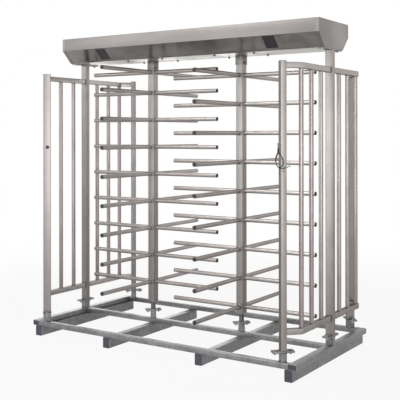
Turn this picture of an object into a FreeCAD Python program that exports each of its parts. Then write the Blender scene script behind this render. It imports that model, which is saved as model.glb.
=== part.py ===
import FreeCAD, Part
import math
import os
import re
import Sketcher

# A double full height turnstile that stands on a movable skid.
# Millimetres, +Z up. The origin lies on the floor under the middle of the skid.
# +X runs along the canopy from the left rotor to the right one, and -Y is the front.

sizes = {
    # Skid
    "overall_width": 2400,
    "base_depth": 1166,
    "runner_width": 60,
    "runner_height": 80,
    "runner_inset": 30,
    "end_tube_width": 64,
    "rail_width": 40,
    "deck_height": 40,
    "base_wall": 3,
    "rotor_spacing": 850,
    # Bolted feet of the posts and of the rotors
    "stub_height": 60,
    "foot_plate_length": 150,
    "rotor_plate_length": 126,
    "foot_plate_width": 60,
    "foot_plate_thickness": 6,
    "bolt_edge": 20,
    "bolt_radius": 6,
    "bolt_hole_gap": 0.5,
    "bolt_head_radius": 11,
    "bolt_head_height": 7.5,
    "nut_height": 10,
    "bolt_tail": 5,
    "fit_gap": 0.05,
    # Posts
    "post_along": 40,
    "post_across": 60,
    "post_wall": 3,
    "corner_post_from_end": 120,
    "corner_post_from_front": 35.5,
    "corner_post_length": 1916,
    "post_cap_thickness": 3,
    "mid_post_length": 2030,
    "top_plate_length": 270,
    "top_plate_thickness": 8,
    # Side fences
    "fence_bottom": 295,
    "fence_drop": 10,
    "fence_side": 40,
    "fence_wall": 2,
    "bar_radius": 16,
    "bar_wall": 2,
    "bar_to_bend": 9.5,
    # Canopy
    "canopy_depth": 490,
    "canopy_bottom_depth": 294,
    "canopy_height": 197,
    "chamfer_height": 100,
    "panel_sheet": 2,
    "lid_thickness": 2,
    "tray_thickness": 3,
    "seat_flange": 15,
    "window_centre": 790,
    "window_width": 100,
    "window_low": 15,
    "window_height": 80,
    "pane_margin": 4,
    "pane_thickness": 3,
    "lamp_margin": 6,
    "lamp_depth": 15,
    "control_box_length": 300,
    "control_box_width": 120,
    "control_box_height": 90,
    # Rotors
    "column_side": 60,
    "column_wall": 3,
    "spindle_height": 66,
    "spindle_radius": 19,
    "journal_radius": 15,
    "bush_radius": 19,
    "bush_flange_radius": 24,
    "bush_flange": 4,
    "hub_height": 40,
    "hub_end_gap": 4,
    "sleeve_wall": 2.5,
    "sleeve_length": 75,
    "sleeve_top": 8,
    "sleeve_gap": 2,
    "column_end_gap": 20,
    "sleeve_bolt_rise": 17,
    "sleeve_bolt_radius": 5,
    "sleeve_bolt_head_radius": 9,
    "sleeve_bolt_head": 6.5,
    "sleeve_bolt_length": 20,
    "arm_radius": 16,
    "arm_wall": 2,
    "arm_reach": 632,
    "low_arm_rise": 51,
    "top_arm_gap": 5,
    "arm_passing_gap": 27,
    "arm_levels": 9,
    "cap_head": 5,
    "cap_spigot": 15,
    "cap_chamfer": 1.5,
    "cap_gap": 0.1,
    # Rotor head: bearing, lock and damper
    "head_plate_length": 400,
    "head_plate_width": 240,
    "head_plate_thickness": 10,
    "screw_edge_x": 25,
    "screw_edge_y": 15,
    "screw_radius": 4,
    "screw_head_radius": 7,
    "screw_head": 4,
    "screw_hole_gap": 0.2,
    "shaft_radius": 15,
    "shaft_hole_gap": 7,
    "shaft_end": 8,
    "bearing_radius": 45,
    "bearing_height": 30,
    "boss_radius": 22,
    "boss_gap": 1,
    "disc_boss": 11,
    "disc_radius": 50,
    "disc_thickness": 8,
    "notch_depth": 8,
    "notch_width": 14,
    "gear_boss": 12,
    "gear_thickness": 12,
    "tooth_module": 2.5,
    "backlash": 1.2,
    "lever_width": 16,
    "lever_end": 8,
    "nose_gap": 2,
    "nose_length": 8,
    "nose_width": 10,
    "nose_taper": 1.5,
    "nose_reach": 53,
    "pivot_offset": 50,
    "pawl_thickness": 10,
    "pin_radius": 5,
    "pin_shoulder_radius": 8,
    "pin_end": 6,
    "spring_wire": 2,
    "spring_gap": 0.5,
    "spring_height": 20,
    "push_reach": 40,
    "plunger_radius": 4,
    "plunger_gap": 0.4,
    "plunger_front": 14,
    "plunger_back": 7,
    "collar_radius": 10,
    "collar_thickness": 5,
    "solenoid_length": 40,
    "solenoid_width": 36,
    "solenoid_roof": 14,
    "damper_radius": 24,
    "damper_gap": 5,
    "damper_shaft_radius": 4,
    "damper_shaft_length": 40,
    # Reader lead with its bent gland, and the two small inserts of the front posts
    "lead_radius": 3,
    "lead_rise": 1562,
    "boot_radius": 9,
    "gland_inset": 16,
    "gland_reach": 14,
    "gland_neck_radius": 6,
    "gland_flange_radius": 8,
    "gland_flange": 2,
    "gland_radius": 5.5,
    "gland_drop": 8,
    "gland_taper": 18,
    "gland_mouth_radius": 4.2,
    "plug_rise": 1379,
    "plug_offset": 5,
    "plug_radius": 8,
    "plug_neck_radius": 6,
    "plug_flange": 2,
    "dot_rise": 1521,
    "dot_offset": 4,
    "dot_radius": 10.5,
    "dot_flange": 2.5,
}

notches = 12
gear_teeth = 48
pinion_teeth = 16
pressure_angle = 20
addendum = 0.9
dedendum = 1.25
half_right_angle = 45
right_angle = 90
full_turn = 360
arms_per_level = 4
bars_per_run = 3

x_axis = FreeCAD.Vector(1, 0, 0)
y_axis = FreeCAD.Vector(0, 1, 0)
z_axis = FreeCAD.Vector(0, 0, 1)

doc = FreeCAD.newDocument("double_turnstile")
sheet = doc.addObject("Spreadsheet::Sheet", "Sizes")
for row, (alias, amount) in enumerate(sizes.items(), start=1):
    sheet.set(f"A{row}", alias)
    sheet.set(f"B{row}", str(amount))
    sheet.setAlias(f"B{row}", alias)
doc.recompute()

subparts = []


# Every name of a size in a text becomes that cell of the sheet
def formula(text):
    def cell(found):
        name = found.group()
        return f"Sizes.{name}" if name in sizes else name

    return re.sub(r"[a-z][a-z_]*", cell, text)


def bind(target, **texts):
    for name, text in texts.items():
        target.setExpression(name, formula(text))


def place(target, at=("0", "0", "0"), turn=0, axis=z_axis):
    target.Placement = FreeCAD.Placement(FreeCAD.Vector(), FreeCAD.Rotation(axis, turn))
    for letter, text in zip("xyz", at):
        target.setExpression(f"Placement.Base.{letter}", formula(text))
    return target


# A finished sub-part: its label is the name of its file
def keep(target, label):
    target.Label = label
    subparts.append(target)
    return target


def together(name, pieces):
    compound = doc.addObject("Part::Compound", name)
    compound.Links = pieces
    return compound


def group(label, pieces):
    return keep(together(label, pieces), label)


# A box centred on its own Z axis, from the given height up
def block(name, along_x, along_y, height, bottom="0"):
    box = doc.addObject("Part::Box", name)
    bind(box, Length=along_x, Width=along_y, Height=height)
    return place(box, (f"-({along_x}) / 2", f"-({along_y}) / 2", bottom))


def rod(name, radius, height, at=("0", "0", "0"), turn=0, axis=z_axis):
    cylinder = doc.addObject("Part::Cylinder", name)
    bind(cylinder, Radius=radius, Height=height)
    return place(cylinder, at, turn, axis)


def hexagon(name, radius, height, at=("0", "0", "0"), turn=0, axis=z_axis):
    prism = doc.addObject("Part::Prism", name)
    prism.Polygon = 6
    bind(prism, Circumradius=radius, Height=height)
    return place(prism, at, turn, axis)


def cut(name, base, *tools):
    for index, tool in enumerate(tools):
        result = doc.addObject("Part::Cut", f"{name}_cut_{index}")
        result.Base = base
        result.Tool = tool
        base = result
    return base


def join(name, *pieces):
    result = doc.addObject("Part::MultiFuse", f"{name}_joined")
    result.Shapes = list(pieces)
    result.Refine = True
    return result


# A stepped cylinder: each step is a radius and a height, from the bottom up
def stepped(name, steps, bottom="0"):
    pieces = []
    level = bottom
    for index, (radius, height) in enumerate(steps):
        pieces.append(rod(f"{name}_step_{index}", radius, height, ("0", "0", level)))
        level = f"{level} + {height}"
    return join(name, *pieces)


# A square or rectangular tube that stands on its own Z axis, open at both ends
def square_tube(name, along_x, along_y, wall, length):
    outer = block(f"{name}_outer", along_x, along_y, length)
    inner = block(f"{name}_inner", f"{along_x} - 2 * {wall}", f"{along_y} - 2 * {wall}", length)
    return cut(name, outer, inner)


def new_body(name):
    body = doc.addObject("PartDesign::Body", name)
    body.AllowCompound = True
    return body


def origin_feature(body, role):
    return next(feature for feature in body.Origin.OriginFeatures if feature.Role == role)


def new_sketch(body, role, offset="0"):
    sketch = body.newObject("Sketcher::SketchObject", "sketch")
    sketch.AttachmentSupport = [(origin_feature(body, role), "")]
    sketch.MapMode = "FlatFace"
    sketch.setExpression("AttachmentOffset.Base.z", formula(offset))
    return sketch


def fix_point(sketch, edge, end, point):
    for kind, text in zip(("DistanceX", "DistanceY"), point):
        index = sketch.addConstraint(Sketcher.Constraint(kind, -1, 1, edge, end, 1.0))
        sketch.setExpression(f"Constraints[{index}]", formula(text))


# The corners are fixed by their two distances from the sketch's origin
def add_polygon(sketch, corners):
    first = sketch.GeometryCount
    count = len(corners)
    starts = [FreeCAD.Vector(math.cos(step), math.sin(step), 0)
              for step in (2 * math.pi * index / count for index in range(count))]
    for index in range(count):
        sketch.addGeometry(Part.LineSegment(starts[index], starts[(index + 1) % count]), False)
    for index in range(count):
        after = first + (index + 1) % count
        sketch.addConstraint(Sketcher.Constraint("Coincident", first + index, 2, after, 1))
    for index, corner in enumerate(corners):
        fix_point(sketch, first + index, 1, corner)


def add_circle(sketch, radius, centre=("0", "0")):
    edge = sketch.GeometryCount
    sketch.addGeometry(Part.Circle(FreeCAD.Vector(), z_axis, 1), False)
    fix_point(sketch, edge, 3, centre)
    index = sketch.addConstraint(Sketcher.Constraint("Radius", edge, 1.0))
    sketch.setExpression(f"Constraints[{index}]", formula(radius))


def rectangle(low_x, high_x, low_y, high_y):
    return [(low_x, low_y), (high_x, low_y), (high_x, high_y), (low_x, high_y)]


def add_pad(body, sketch, length):
    pad = body.newObject("PartDesign::Pad", "pad")
    pad.Profile = sketch
    bind(pad, Length=length)
    return pad


# A pocket cuts down from its sketch, against the sketch's normal
def add_pocket(body, sketch, length):
    pocket = body.newObject("PartDesign::Pocket", "pocket")
    pocket.Profile = sketch
    bind(pocket, Length=length)
    return pocket


def polar(body, count):
    pattern = body.newObject("PartDesign::PolarPattern", "round")
    pattern.Axis = (origin_feature(body, "Z_Axis"), [""])
    pattern.Angle = full_turn
    pattern.Occurrences = count
    return pattern


def linear(body, role, length, count):
    pattern = body.newObject("PartDesign::LinearPattern", "row")
    pattern.Direction = (origin_feature(body, role), [""])
    bind(pattern, Length=length, Occurrences=count)
    return pattern


def mirrored(body, role):
    pattern = body.newObject("PartDesign::Mirrored", "mirror")
    pattern.MirrorPlane = (origin_feature(body, role), [""])
    return pattern


# The steps are patterns or mirrors, each applied to all copies made so far
def repeat(body, originals, steps):
    pattern = body.newObject("PartDesign::MultiTransform", "copies")
    pattern.Originals = originals
    pattern.Transformations = steps
    body.Tip = pattern


# Heights and places that several sub-parts share
base_top = "(runner_height + deck_height)"
stub_top = f"({base_top} + stub_height)"
foot_top = f"({stub_top} + 2 * foot_plate_thickness)"
corner_x = "(overall_width / 2 - corner_post_from_end)"
corner_y = "(base_depth / 2 - corner_post_from_front)"
mid_x = "(overall_width / 2 - end_tube_width / 2)"
rotor_x = "(rotor_spacing / 2)"
corner_post_top = f"({foot_top} + corner_post_length + post_cap_thickness)"
canopy_bottom = f"({foot_top} + mid_post_length + top_plate_thickness)"
canopy_top = f"({canopy_bottom} + canopy_height)"
tray_top = f"({canopy_bottom} + tray_thickness)"
end_face = "(overall_width / 2 - panel_sheet)"
bolt_hole_radius = "(bolt_radius + bolt_hole_gap)"
gland_side = "(post_across / 2 - gland_inset)"
gland_axis = "(post_along / 2 + gland_reach)"
left_end = -1
right_end = 1
front = -1
back = 1

# Each foot: name, place, turn of its plates and the length of its plates
feet = [
    ("corner_front_left", f"-{corner_x}", f"-{corner_y}", -half_right_angle, "foot_plate_length"),
    ("corner_front_right", corner_x, f"-{corner_y}", half_right_angle, "foot_plate_length"),
    ("corner_back_left", f"-{corner_x}", corner_y, half_right_angle, "foot_plate_length"),
    ("corner_back_right", corner_x, corner_y, -half_right_angle, "foot_plate_length"),
    ("mid_left", f"-{mid_x}", "0", right_angle, "foot_plate_length"),
    ("mid_right", mid_x, "0", right_angle, "foot_plate_length"),
    ("rotor_left", f"-{rotor_x}", "0", half_right_angle, "rotor_plate_length"),
    ("rotor_right", rotor_x, "0", half_right_angle, "rotor_plate_length"),
]


def make_skid():
    depth = "base_depth"
    start = f"-{depth} / 2"
    outer_runner_x = "(overall_width / 2 - runner_inset - runner_width / 2)"
    runners = []
    for index, x in enumerate((f"-{outer_runner_x}", f"-{rotor_x}", rotor_x, outer_runner_x)):
        runner = square_tube(f"runner_{index}", "runner_width", "runner_height", "base_wall", depth)
        runners.append(place(runner, (x, start, "runner_height / 2"), -right_angle, x_axis))
    group("base_runners", runners)

    deck_middle = "runner_height + deck_height / 2"
    end_tubes = []
    for index, x in enumerate((f"-{mid_x}", mid_x)):
        tube = square_tube(f"end_tube_{index}", "end_tube_width", "deck_height", "base_wall", depth)
        end_tubes.append(place(tube, (x, start, deck_middle), -right_angle, x_axis))
    group("base_end_tubes", end_tubes)

    rail_length = "(overall_width - 2 * end_tube_width)"
    outer_rail_y = "(base_depth / 2 - rail_width / 2)"
    rails = []
    for index, y in enumerate((f"-{outer_rail_y}", "0", outer_rail_y)):
        rail = square_tube(f"rail_{index}", "deck_height", "rail_width", "base_wall", rail_length)
        rails.append(place(rail, (f"-{rail_length} / 2", y, deck_middle), right_angle, y_axis))
    group("base_rails", rails)


# A foot plate with one bolt hole near each end
def foot_plate(name, length, bottom):
    plate = block(f"{name}_blank", length, "foot_plate_width", "foot_plate_thickness", bottom)
    holes = [
        rod(f"{name}_hole_{side}", bolt_hole_radius, "foot_plate_thickness",
            (f"{side} * ({length} / 2 - bolt_edge)", "0", bottom))
        for side in (left_end, right_end)
    ]
    return cut(name, plate, *holes)


# A hexagon bolt whose head sits at the given height, with its shank hanging down
def bolt(name, x, y, head_bottom, length):
    head = hexagon(f"{name}_head", "bolt_head_radius", "bolt_head_height", (x, y, head_bottom))
    shank = rod(f"{name}_shank", "bolt_radius", length, (x, y, f"{head_bottom} - {length}"))
    return join(name, head, shank)


def nut(name, x, y, bottom):
    prism = hexagon(f"{name}_prism", "bolt_head_radius", "nut_height", (x, y, bottom))
    bore = rod(f"{name}_bore", "bolt_radius + fit_gap", "nut_height", (x, y, bottom))
    return cut(name, prism, bore)


def make_feet():
    grip = "(2 * foot_plate_thickness + nut_height + bolt_tail)"
    stubs = []
    lower_plates = []
    upper_plates = []
    fasteners = []
    for name, x, y, turn, plate_length in feet:
        stub = square_tube(f"{name}_stub", "post_along", "post_across", "post_wall", "stub_height")
        stubs.append(place(stub, (x, y, base_top), turn))
        lower = foot_plate(f"{name}_lower", plate_length, "0")
        lower_plates.append(place(lower, (x, y, stub_top), turn))
        upper = foot_plate(f"{name}_upper", plate_length, "foot_plate_thickness")
        upper_plates.append(place(upper, (x, y, stub_top), turn))
        for side in (left_end, right_end):
            along = f"{side} * ({plate_length} / 2 - bolt_edge)"
            screw = bolt(f"{name}_bolt_{side}", along, "0", "2 * foot_plate_thickness", grip)
            fasteners.append(place(screw, (x, y, stub_top), turn))
            lock_nut = nut(f"{name}_nut_{side}", along, "0", "-nut_height")
            fasteners.append(place(lock_nut, (x, y, stub_top), turn))
    group("foot_stubs", stubs)
    group("lower_foot_plates", lower_plates)
    group("upper_foot_plates", upper_plates)
    group("foot_bolts_and_nuts", fasteners)


# A hole through one wall of a post, bored along the post's own X or Y axis
def wall_hole(name, radius, at, axis):
    through = "post_wall"
    turn, about = (right_angle, y_axis) if axis == "x" else (-right_angle, x_axis)
    return rod(name, radius, through, at, turn, about)


def make_corner_posts():
    gland_hole = wall_hole("gland_hole", "gland_neck_radius",
                           ("-post_along / 2", f"-{gland_side}", f"lead_rise - {foot_top}"), "x")
    plug_hole = wall_hole("plug_hole", "plug_neck_radius",
                          ("-plug_offset", "-post_across / 2", f"plug_rise - {foot_top}"), "y")
    dot_hole = wall_hole("dot_hole", "dot_radius",
                         ("post_along / 2 - post_wall", "dot_offset", f"dot_rise - {foot_top}"), "x")
    holes = {"corner_front_right": (gland_hole, plug_hole), "corner_front_left": (dot_hole,)}
    caps = []
    for name, x, y, turn, _ in feet[:4]:
        post = square_tube(name, "post_along", "post_across", "post_wall", "corner_post_length")
        post = cut(f"{name}_drilled", post, *holes.get(name, ()))
        keep(place(post, (x, y, foot_top), turn), f"{name}_post")
        lid = block(f"{name}_lid", "post_along", "post_across", "post_cap_thickness")
        cap = together(f"{name}_cap", [lid])
        caps.append(place(cap, (x, y, f"{foot_top} + corner_post_length"), turn))
    group("corner_post_caps", caps)


def make_mid_posts():
    top_plate_y = "(top_plate_length / 2 - bolt_edge)"
    plates = []
    fasteners = []
    for name, x, y, turn, _ in feet[4:6]:
        post = square_tube(name, "post_along", "post_across", "post_wall", "mid_post_length")
        keep(place(post, (x, y, foot_top), turn), f"{name}_post")
        plate = block(f"{name}_top_plate", "post_across", "top_plate_length", "top_plate_thickness")
        holes = [
            rod(f"{name}_top_hole_{side}", bolt_hole_radius, "top_plate_thickness",
                ("0", f"{side} * {top_plate_y}", "0"))
            for side in (front, back)
        ]
        plate = cut(f"{name}_top", plate, *holes)
        plates.append(place(plate, (x, y, f"{foot_top} + mid_post_length")))
        for side in (front, back):
            at_y = f"{side} * {top_plate_y}"
            grip = "(top_plate_thickness + tray_thickness + nut_height + bolt_tail)"
            head = hexagon(f"{name}_top_head_{side}", "bolt_head_radius", "bolt_head_height",
                           (x, at_y, f"{foot_top} + mid_post_length - bolt_head_height"))
            shank = rod(f"{name}_top_shank_{side}", "bolt_radius", grip,
                        (x, at_y, f"{foot_top} + mid_post_length"))
            fasteners.append(join(f"{name}_top_bolt_{side}", head, shank))
            fasteners.append(nut(f"{name}_top_nut_{side}", x, at_y, tray_top))
    group("mid_post_top_plates", plates)
    group("top_plate_bolts_and_nuts", fasteners)


# The fence runs from the mid post to the bend, then at 45 degrees to the corner post
bend_y = f"({corner_y} - ({mid_x} - {corner_x}))"
fence_top = f"({corner_post_top} - fence_drop)"
fence_rise = f"({fence_top} - fence_side - fence_bottom)"
mitre = "(sqrt(2) - 1)"


def straight_rail_outline(half_width):
    low_x = f"{mid_x} - {half_width}"
    high_x = f"{mid_x} + {half_width}"
    return [
        (low_x, "post_along / 2"),
        (high_x, "post_along / 2"),
        (high_x, f"{bend_y} + {mitre} * {half_width}"),
        (low_x, f"{bend_y} - {mitre} * {half_width}"),
    ]


def angled_rail_outline(half_width):
    end_x = f"({corner_x} + post_along / 2 / sqrt(2))"
    end_y = f"({corner_y} - post_along / 2 / sqrt(2))"
    side = f"{half_width} / sqrt(2)"
    return [
        (f"{mid_x} - {half_width}", f"{bend_y} - {mitre} * {half_width}"),
        (f"{mid_x} + {half_width}", f"{bend_y} + {mitre} * {half_width}"),
        (f"{end_x} + {side}", f"{end_y} + {side}"),
        (f"{end_x} - {side}", f"{end_y} - {side}"),
    ]


def make_fence_rails(label, outline):
    body = keep(new_body(label), label)
    outer = new_sketch(body, "XY_Plane", "fence_bottom")
    add_polygon(outer, outline("fence_side / 2"))
    pad = add_pad(body, outer, "fence_side")
    inner = new_sketch(body, "XY_Plane", "fence_bottom + fence_side - fence_wall")
    add_polygon(inner, outline("(fence_side / 2 - fence_wall)"))
    pocket = add_pocket(body, inner, "fence_side - 2 * fence_wall")
    steps = [
        linear(body, "Z_Axis", fence_rise, "2"),
        mirrored(body, "XZ_Plane"),
        mirrored(body, "YZ_Plane"),
    ]
    repeat(body, [pad, pocket], steps)


# The bars stand evenly from the mid post, and the last one just before the bend
def make_fence_bars():
    body = keep(new_body("fence_bars"), "fence_bars")
    ring = new_sketch(body, "XY_Plane", "fence_bottom + fence_side")
    pitch = f"(({bend_y} - bar_to_bend) / {bars_per_run})"
    centre = (mid_x, pitch)
    add_circle(ring, "bar_radius", centre)
    add_circle(ring, "bar_radius - bar_wall", centre)
    pad = add_pad(body, ring, f"{fence_rise} - fence_side")
    steps = [
        linear(body, "Y_Axis", f"{pitch} * ({bars_per_run} - 1)", str(bars_per_run)),
        mirrored(body, "XZ_Plane"),
        mirrored(body, "YZ_Plane"),
    ]
    repeat(body, [pad], steps)


# The canopy's sloping wall: its outer face at a height above the canopy's underside,
# and the thickness of a sheet measured level through that slope
slope = "((canopy_depth - canopy_bottom_depth) / 2 / chamfer_height)"
level_factor = f"sqrt(1 + {slope} ^ 2)"
wall_level = f"(panel_sheet * {level_factor})"
tray_half = f"(canopy_bottom_depth / 2 - {wall_level})"


def slope_y(rise, depth):
    return f"(canopy_bottom_depth / 2 + {slope} * ({rise}) - ({depth}) * {level_factor})"


def sloping_outline(side, low, high, outer_depth, inner_depth):
    return [
        (f"{side} * {slope_y(low, outer_depth)}", f"{canopy_bottom} + {low}"),
        (f"{side} * {slope_y(high, outer_depth)}", f"{canopy_bottom} + {high}"),
        (f"{side} * {slope_y(high, inner_depth)}", f"{canopy_bottom} + {high}"),
        (f"{side} * {slope_y(low, inner_depth)}", f"{canopy_bottom} + {low}"),
    ]


# One folded sheet: upper flange, upright wall, slope and a lower flange on the tray
def make_canopy_panel(label, side):
    body = keep(new_body(label), label)
    upper = f"({canopy_top} - lid_thickness)"
    fold = f"({canopy_bottom} + chamfer_height)"
    inner_half = "(canopy_depth / 2 - panel_sheet)"
    inner_fold_rise = f"((canopy_depth / 2 - panel_sheet - {tray_half}) / {slope})"
    flange_top = "(tray_thickness + panel_sheet)"
    corners = [
        ("canopy_depth / 2", upper),
        ("canopy_depth / 2", fold),
        ("canopy_bottom_depth / 2", canopy_bottom),
        (tray_half, canopy_bottom),
        (tray_half, tray_top),
        (f"({tray_half} - seat_flange)", tray_top),
        (f"({tray_half} - seat_flange)", f"{tray_top} + panel_sheet"),
        (slope_y(flange_top, "panel_sheet"), f"{tray_top} + panel_sheet"),
        (inner_half, f"{canopy_bottom} + {inner_fold_rise}"),
        (inner_half, f"{upper} - panel_sheet"),
        (f"({inner_half} - seat_flange)", f"{upper} - panel_sheet"),
        (f"({inner_half} - seat_flange)", upper),
    ]
    profile = new_sketch(body, "YZ_Plane", f"-{end_face}")
    add_polygon(profile, [(f"{side} * {y}", z) for y, z in corners])
    add_pad(body, profile, f"2 * {end_face}")
    opening = new_sketch(body, "YZ_Plane", "window_centre + window_width / 2")
    high = "(window_low + window_height)"
    add_polygon(opening, sloping_outline(side, "window_low", high, "-panel_sheet", "2 * panel_sheet"))
    pocket = add_pocket(body, opening, "window_width")
    repeat(body, [pocket], [mirrored(body, "YZ_Plane")])


def make_canopy_lid():
    lid = block("lid_plate", "overall_width", "canopy_depth", "lid_thickness",
                f"{canopy_top} - lid_thickness")
    keep(lid, "canopy_lid")


def make_canopy_end_plates():
    body = keep(new_body("canopy_end_plates"), "canopy_end_plates")
    profile = new_sketch(body, "YZ_Plane", end_face)
    upper = f"{canopy_top} - lid_thickness"
    fold = f"{canopy_bottom} + chamfer_height"
    half_outline = [
        ("canopy_bottom_depth / 2", canopy_bottom),
        ("canopy_depth / 2", fold),
        ("canopy_depth / 2", upper),
    ]
    mirrored_outline = [(f"-{y}", z) for y, z in reversed(half_outline)]
    add_polygon(profile, half_outline + mirrored_outline)
    pad = add_pad(body, profile, "panel_sheet")
    repeat(body, [pad], [mirrored(body, "YZ_Plane")])


screw_x = "(head_plate_length / 2 - screw_edge_x)"
screw_y = "(head_plate_width / 2 - screw_edge_y)"
screw_hole_radius = "(screw_radius + screw_hole_gap)"
shaft_hole_radius = "(shaft_radius + shaft_hole_gap)"
screw_places = [
    (f"{x_side} * {screw_x}", f"{y_side} * {screw_y}")
    for x_side in (left_end, right_end)
    for y_side in (front, back)
]


def make_canopy_tray():
    body = keep(new_body("canopy_tray"), "canopy_tray")
    outline = new_sketch(body, "XY_Plane", canopy_bottom)
    add_polygon(outline, rectangle(f"-{end_face}", end_face, f"-{tray_half}", tray_half))
    add_pad(body, outline, "tray_thickness")
    holes = new_sketch(body, "XY_Plane", tray_top)
    for side in (left_end, right_end):
        add_circle(holes, shaft_hole_radius, (f"{side} * {rotor_x}", "0"))
        for x, y in screw_places:
            add_circle(holes, screw_hole_radius, (f"{side} * {rotor_x} + {x}", y))
        for y_side in (front, back):
            top_bolt_y = f"{y_side} * (top_plate_length / 2 - bolt_edge)"
            add_circle(holes, bolt_hole_radius, (f"{side} * {mid_x}", top_bolt_y))
    body.Tip = add_pocket(body, holes, "tray_thickness")


def make_windows():
    low = "(window_low - pane_margin)"
    high = "(window_low + window_height + pane_margin)"
    pane_depth = "(panel_sheet + pane_thickness)"
    body = keep(new_body("indicator_windows"), "indicator_windows")
    profile = new_sketch(body, "YZ_Plane", "window_centre - window_width / 2 - pane_margin")
    add_polygon(profile, sloping_outline(front, low, high, "panel_sheet", pane_depth))
    pad = add_pad(body, profile, "window_width + 2 * pane_margin")
    repeat(body, [pad], [mirrored(body, "XZ_Plane"), mirrored(body, "YZ_Plane")])

    lamp_low = "(window_low + lamp_margin)"
    lamp_high = "(window_low + window_height - lamp_margin)"
    body = keep(new_body("indicator_lamps"), "indicator_lamps")
    profile = new_sketch(body, "YZ_Plane", "window_centre - window_width / 2 + lamp_margin")
    lamp_back = f"({pane_depth} + lamp_depth)"
    add_polygon(profile, sloping_outline(front, lamp_low, lamp_high, pane_depth, lamp_back))
    pad = add_pad(body, profile, "window_width - 2 * lamp_margin")
    repeat(body, [pad], [mirrored(body, "XZ_Plane"), mirrored(body, "YZ_Plane")])


def make_control_box():
    box = block("control_block", "control_box_length", "control_box_width", "control_box_height",
                tray_top)
    keep(box, "control_box")


# Heights along a rotor, from its foot to its head
column_bottom = f"({foot_top} + spindle_height)"
sleeve_top_face = f"({canopy_bottom} - sleeve_gap)"
sleeve_bottom = f"({sleeve_top_face} - sleeve_length)"
column_top = f"({sleeve_top_face} - sleeve_top - column_end_gap)"
left_top_arm = f"({sleeve_bottom} - top_arm_gap - arm_radius)"
right_top_arm = f"({left_top_arm} - 2 * arm_radius - arm_passing_gap)"
right_low_arm = f"({column_bottom} + low_arm_rise)"
arm_pitch = f"(({right_top_arm} - {right_low_arm}) / (arm_levels - 1))"
left_low_arm = f"({right_low_arm} + {arm_pitch} / 2)"
head_plate_bottom = tray_top
head_plate_top = f"({tray_top} + head_plate_thickness)"
bearing_top = f"({head_plate_top} + bearing_height)"
disc_bottom = f"({bearing_top} + boss_gap + disc_boss)"
disc_top = f"({disc_bottom} + disc_thickness)"
gear_bottom = f"({disc_top} + gear_boss)"
gear_top = f"({gear_bottom} + gear_thickness)"
shaft_top = f"({gear_top} + shaft_end)"
shaft_bore_radius = "(shaft_radius + fit_gap)"


# Both rotors are made of the same pieces, each modelled once about its own place.
# A piece that turns is a sub-part of its own for each rotor, and a fixed one is a pair.
def keep_each(label, piece, at, turn=0):
    x, y, z = at
    for side_name, side in (("left", left_end), ("right", right_end)):
        copy = group(f"{side_name}_{label}", [piece])
        place(copy, (f"{side} * {rotor_x} + {x}", y, z), turn)


def keep_pair(label, piece, at):
    x, y, z = at
    copies = []
    for side_name, side in (("left", left_end), ("right", right_end)):
        copy = together(f"{side_name}_{label}_copy", [piece])
        copies.append(place(copy, (f"{side} * {rotor_x} + {x}", y, z)))
    group(label, copies)


# The fixed spindle has a shoulder for the bush, which carries the column
def make_rotor_feet():
    shoulder = "(spindle_height - bush_flange)"
    journal = "(bush_flange + hub_height - hub_end_gap)"
    spindle = stepped("spindle", [("spindle_radius", shoulder), ("journal_radius", journal)])
    keep_pair("foot_spindles", spindle, ("0", "0", foot_top))
    flange = rod("bush_flange_disc", "bush_flange_radius", "bush_flange")
    barrel = rod("bush_barrel", "bush_radius", journal)
    bore = rod("bush_bore", "journal_radius + fit_gap", journal)
    bush = cut("bush", join("bush", flange, barrel), bore)
    keep_pair("foot_bushes", bush, ("0", "0", f"{foot_top} + {shoulder}"))


def make_rotor_columns():
    length = f"({column_top} - {column_bottom})"
    tube = square_tube("column", "column_side", "column_side", "column_wall", length)
    bolt_at = ("column_side / 2 - column_wall", "0",
               f"{sleeve_bottom} + sleeve_bolt_rise - {column_bottom}")
    bolt_hole = rod("column_bolt_hole", "sleeve_bolt_radius + fit_gap", "column_wall", bolt_at,
                    right_angle, y_axis)
    inside = "(column_side - 2 * column_wall)"
    plug = block("hub_block", inside, inside, "hub_height")
    bore = rod("hub_bore", "bush_radius + fit_gap", "hub_height")
    column = together("column_with_hub", [cut("column_bored", tube, bolt_hole), cut("hub", plug, bore)])
    keep_each("rotor_column", column, ("0", "0", column_bottom))


def make_rotor_sleeves():
    outer_side = "(column_side + 2 * sleeve_wall)"
    outer = block("sleeve_outer", outer_side, outer_side, "sleeve_length")
    inner = block("sleeve_inner", "column_side", "column_side", "sleeve_length - sleeve_top")
    bolt_height = "sleeve_bolt_rise"
    hole = rod("sleeve_hole", "sleeve_bolt_radius + fit_gap", "sleeve_wall",
               ("column_side / 2", "0", bolt_height), right_angle, y_axis)
    head = hexagon("sleeve_bolt_head", "sleeve_bolt_head_radius", "sleeve_bolt_head",
                   (f"{outer_side} / 2", "0", bolt_height), right_angle, y_axis)
    shank = rod("sleeve_bolt_shank", "sleeve_bolt_radius", "sleeve_bolt_length",
                (f"{outer_side} / 2 - sleeve_bolt_length", "0", bolt_height), right_angle, y_axis)
    screw = join("sleeve_bolt", head, shank)
    sleeve = together("sleeve_with_bolt", [cut("sleeve", outer, inner, hole), screw])
    keep_each("rotor_sleeve", sleeve, ("0", "0", sleeve_bottom))


# Arms stand out from the four faces of the column, level above level.
# The left rotor has one level less on the pitch, and one more close under its sleeve.
def make_rotor_levels(label, x, low_level, count, top_level, add_feature):
    body = keep(new_body(label), label)
    low = add_feature(body, low_level)
    stack = [polar(body, arms_per_level), linear(body, "Z_Axis", f"({count} - 1) * {arm_pitch}", count)]
    repeat(body, [low], stack)
    if top_level:
        top = add_feature(body, top_level)
        repeat(body, [top], [polar(body, arms_per_level)])
    place(body, (x, "0", "0"))


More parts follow.
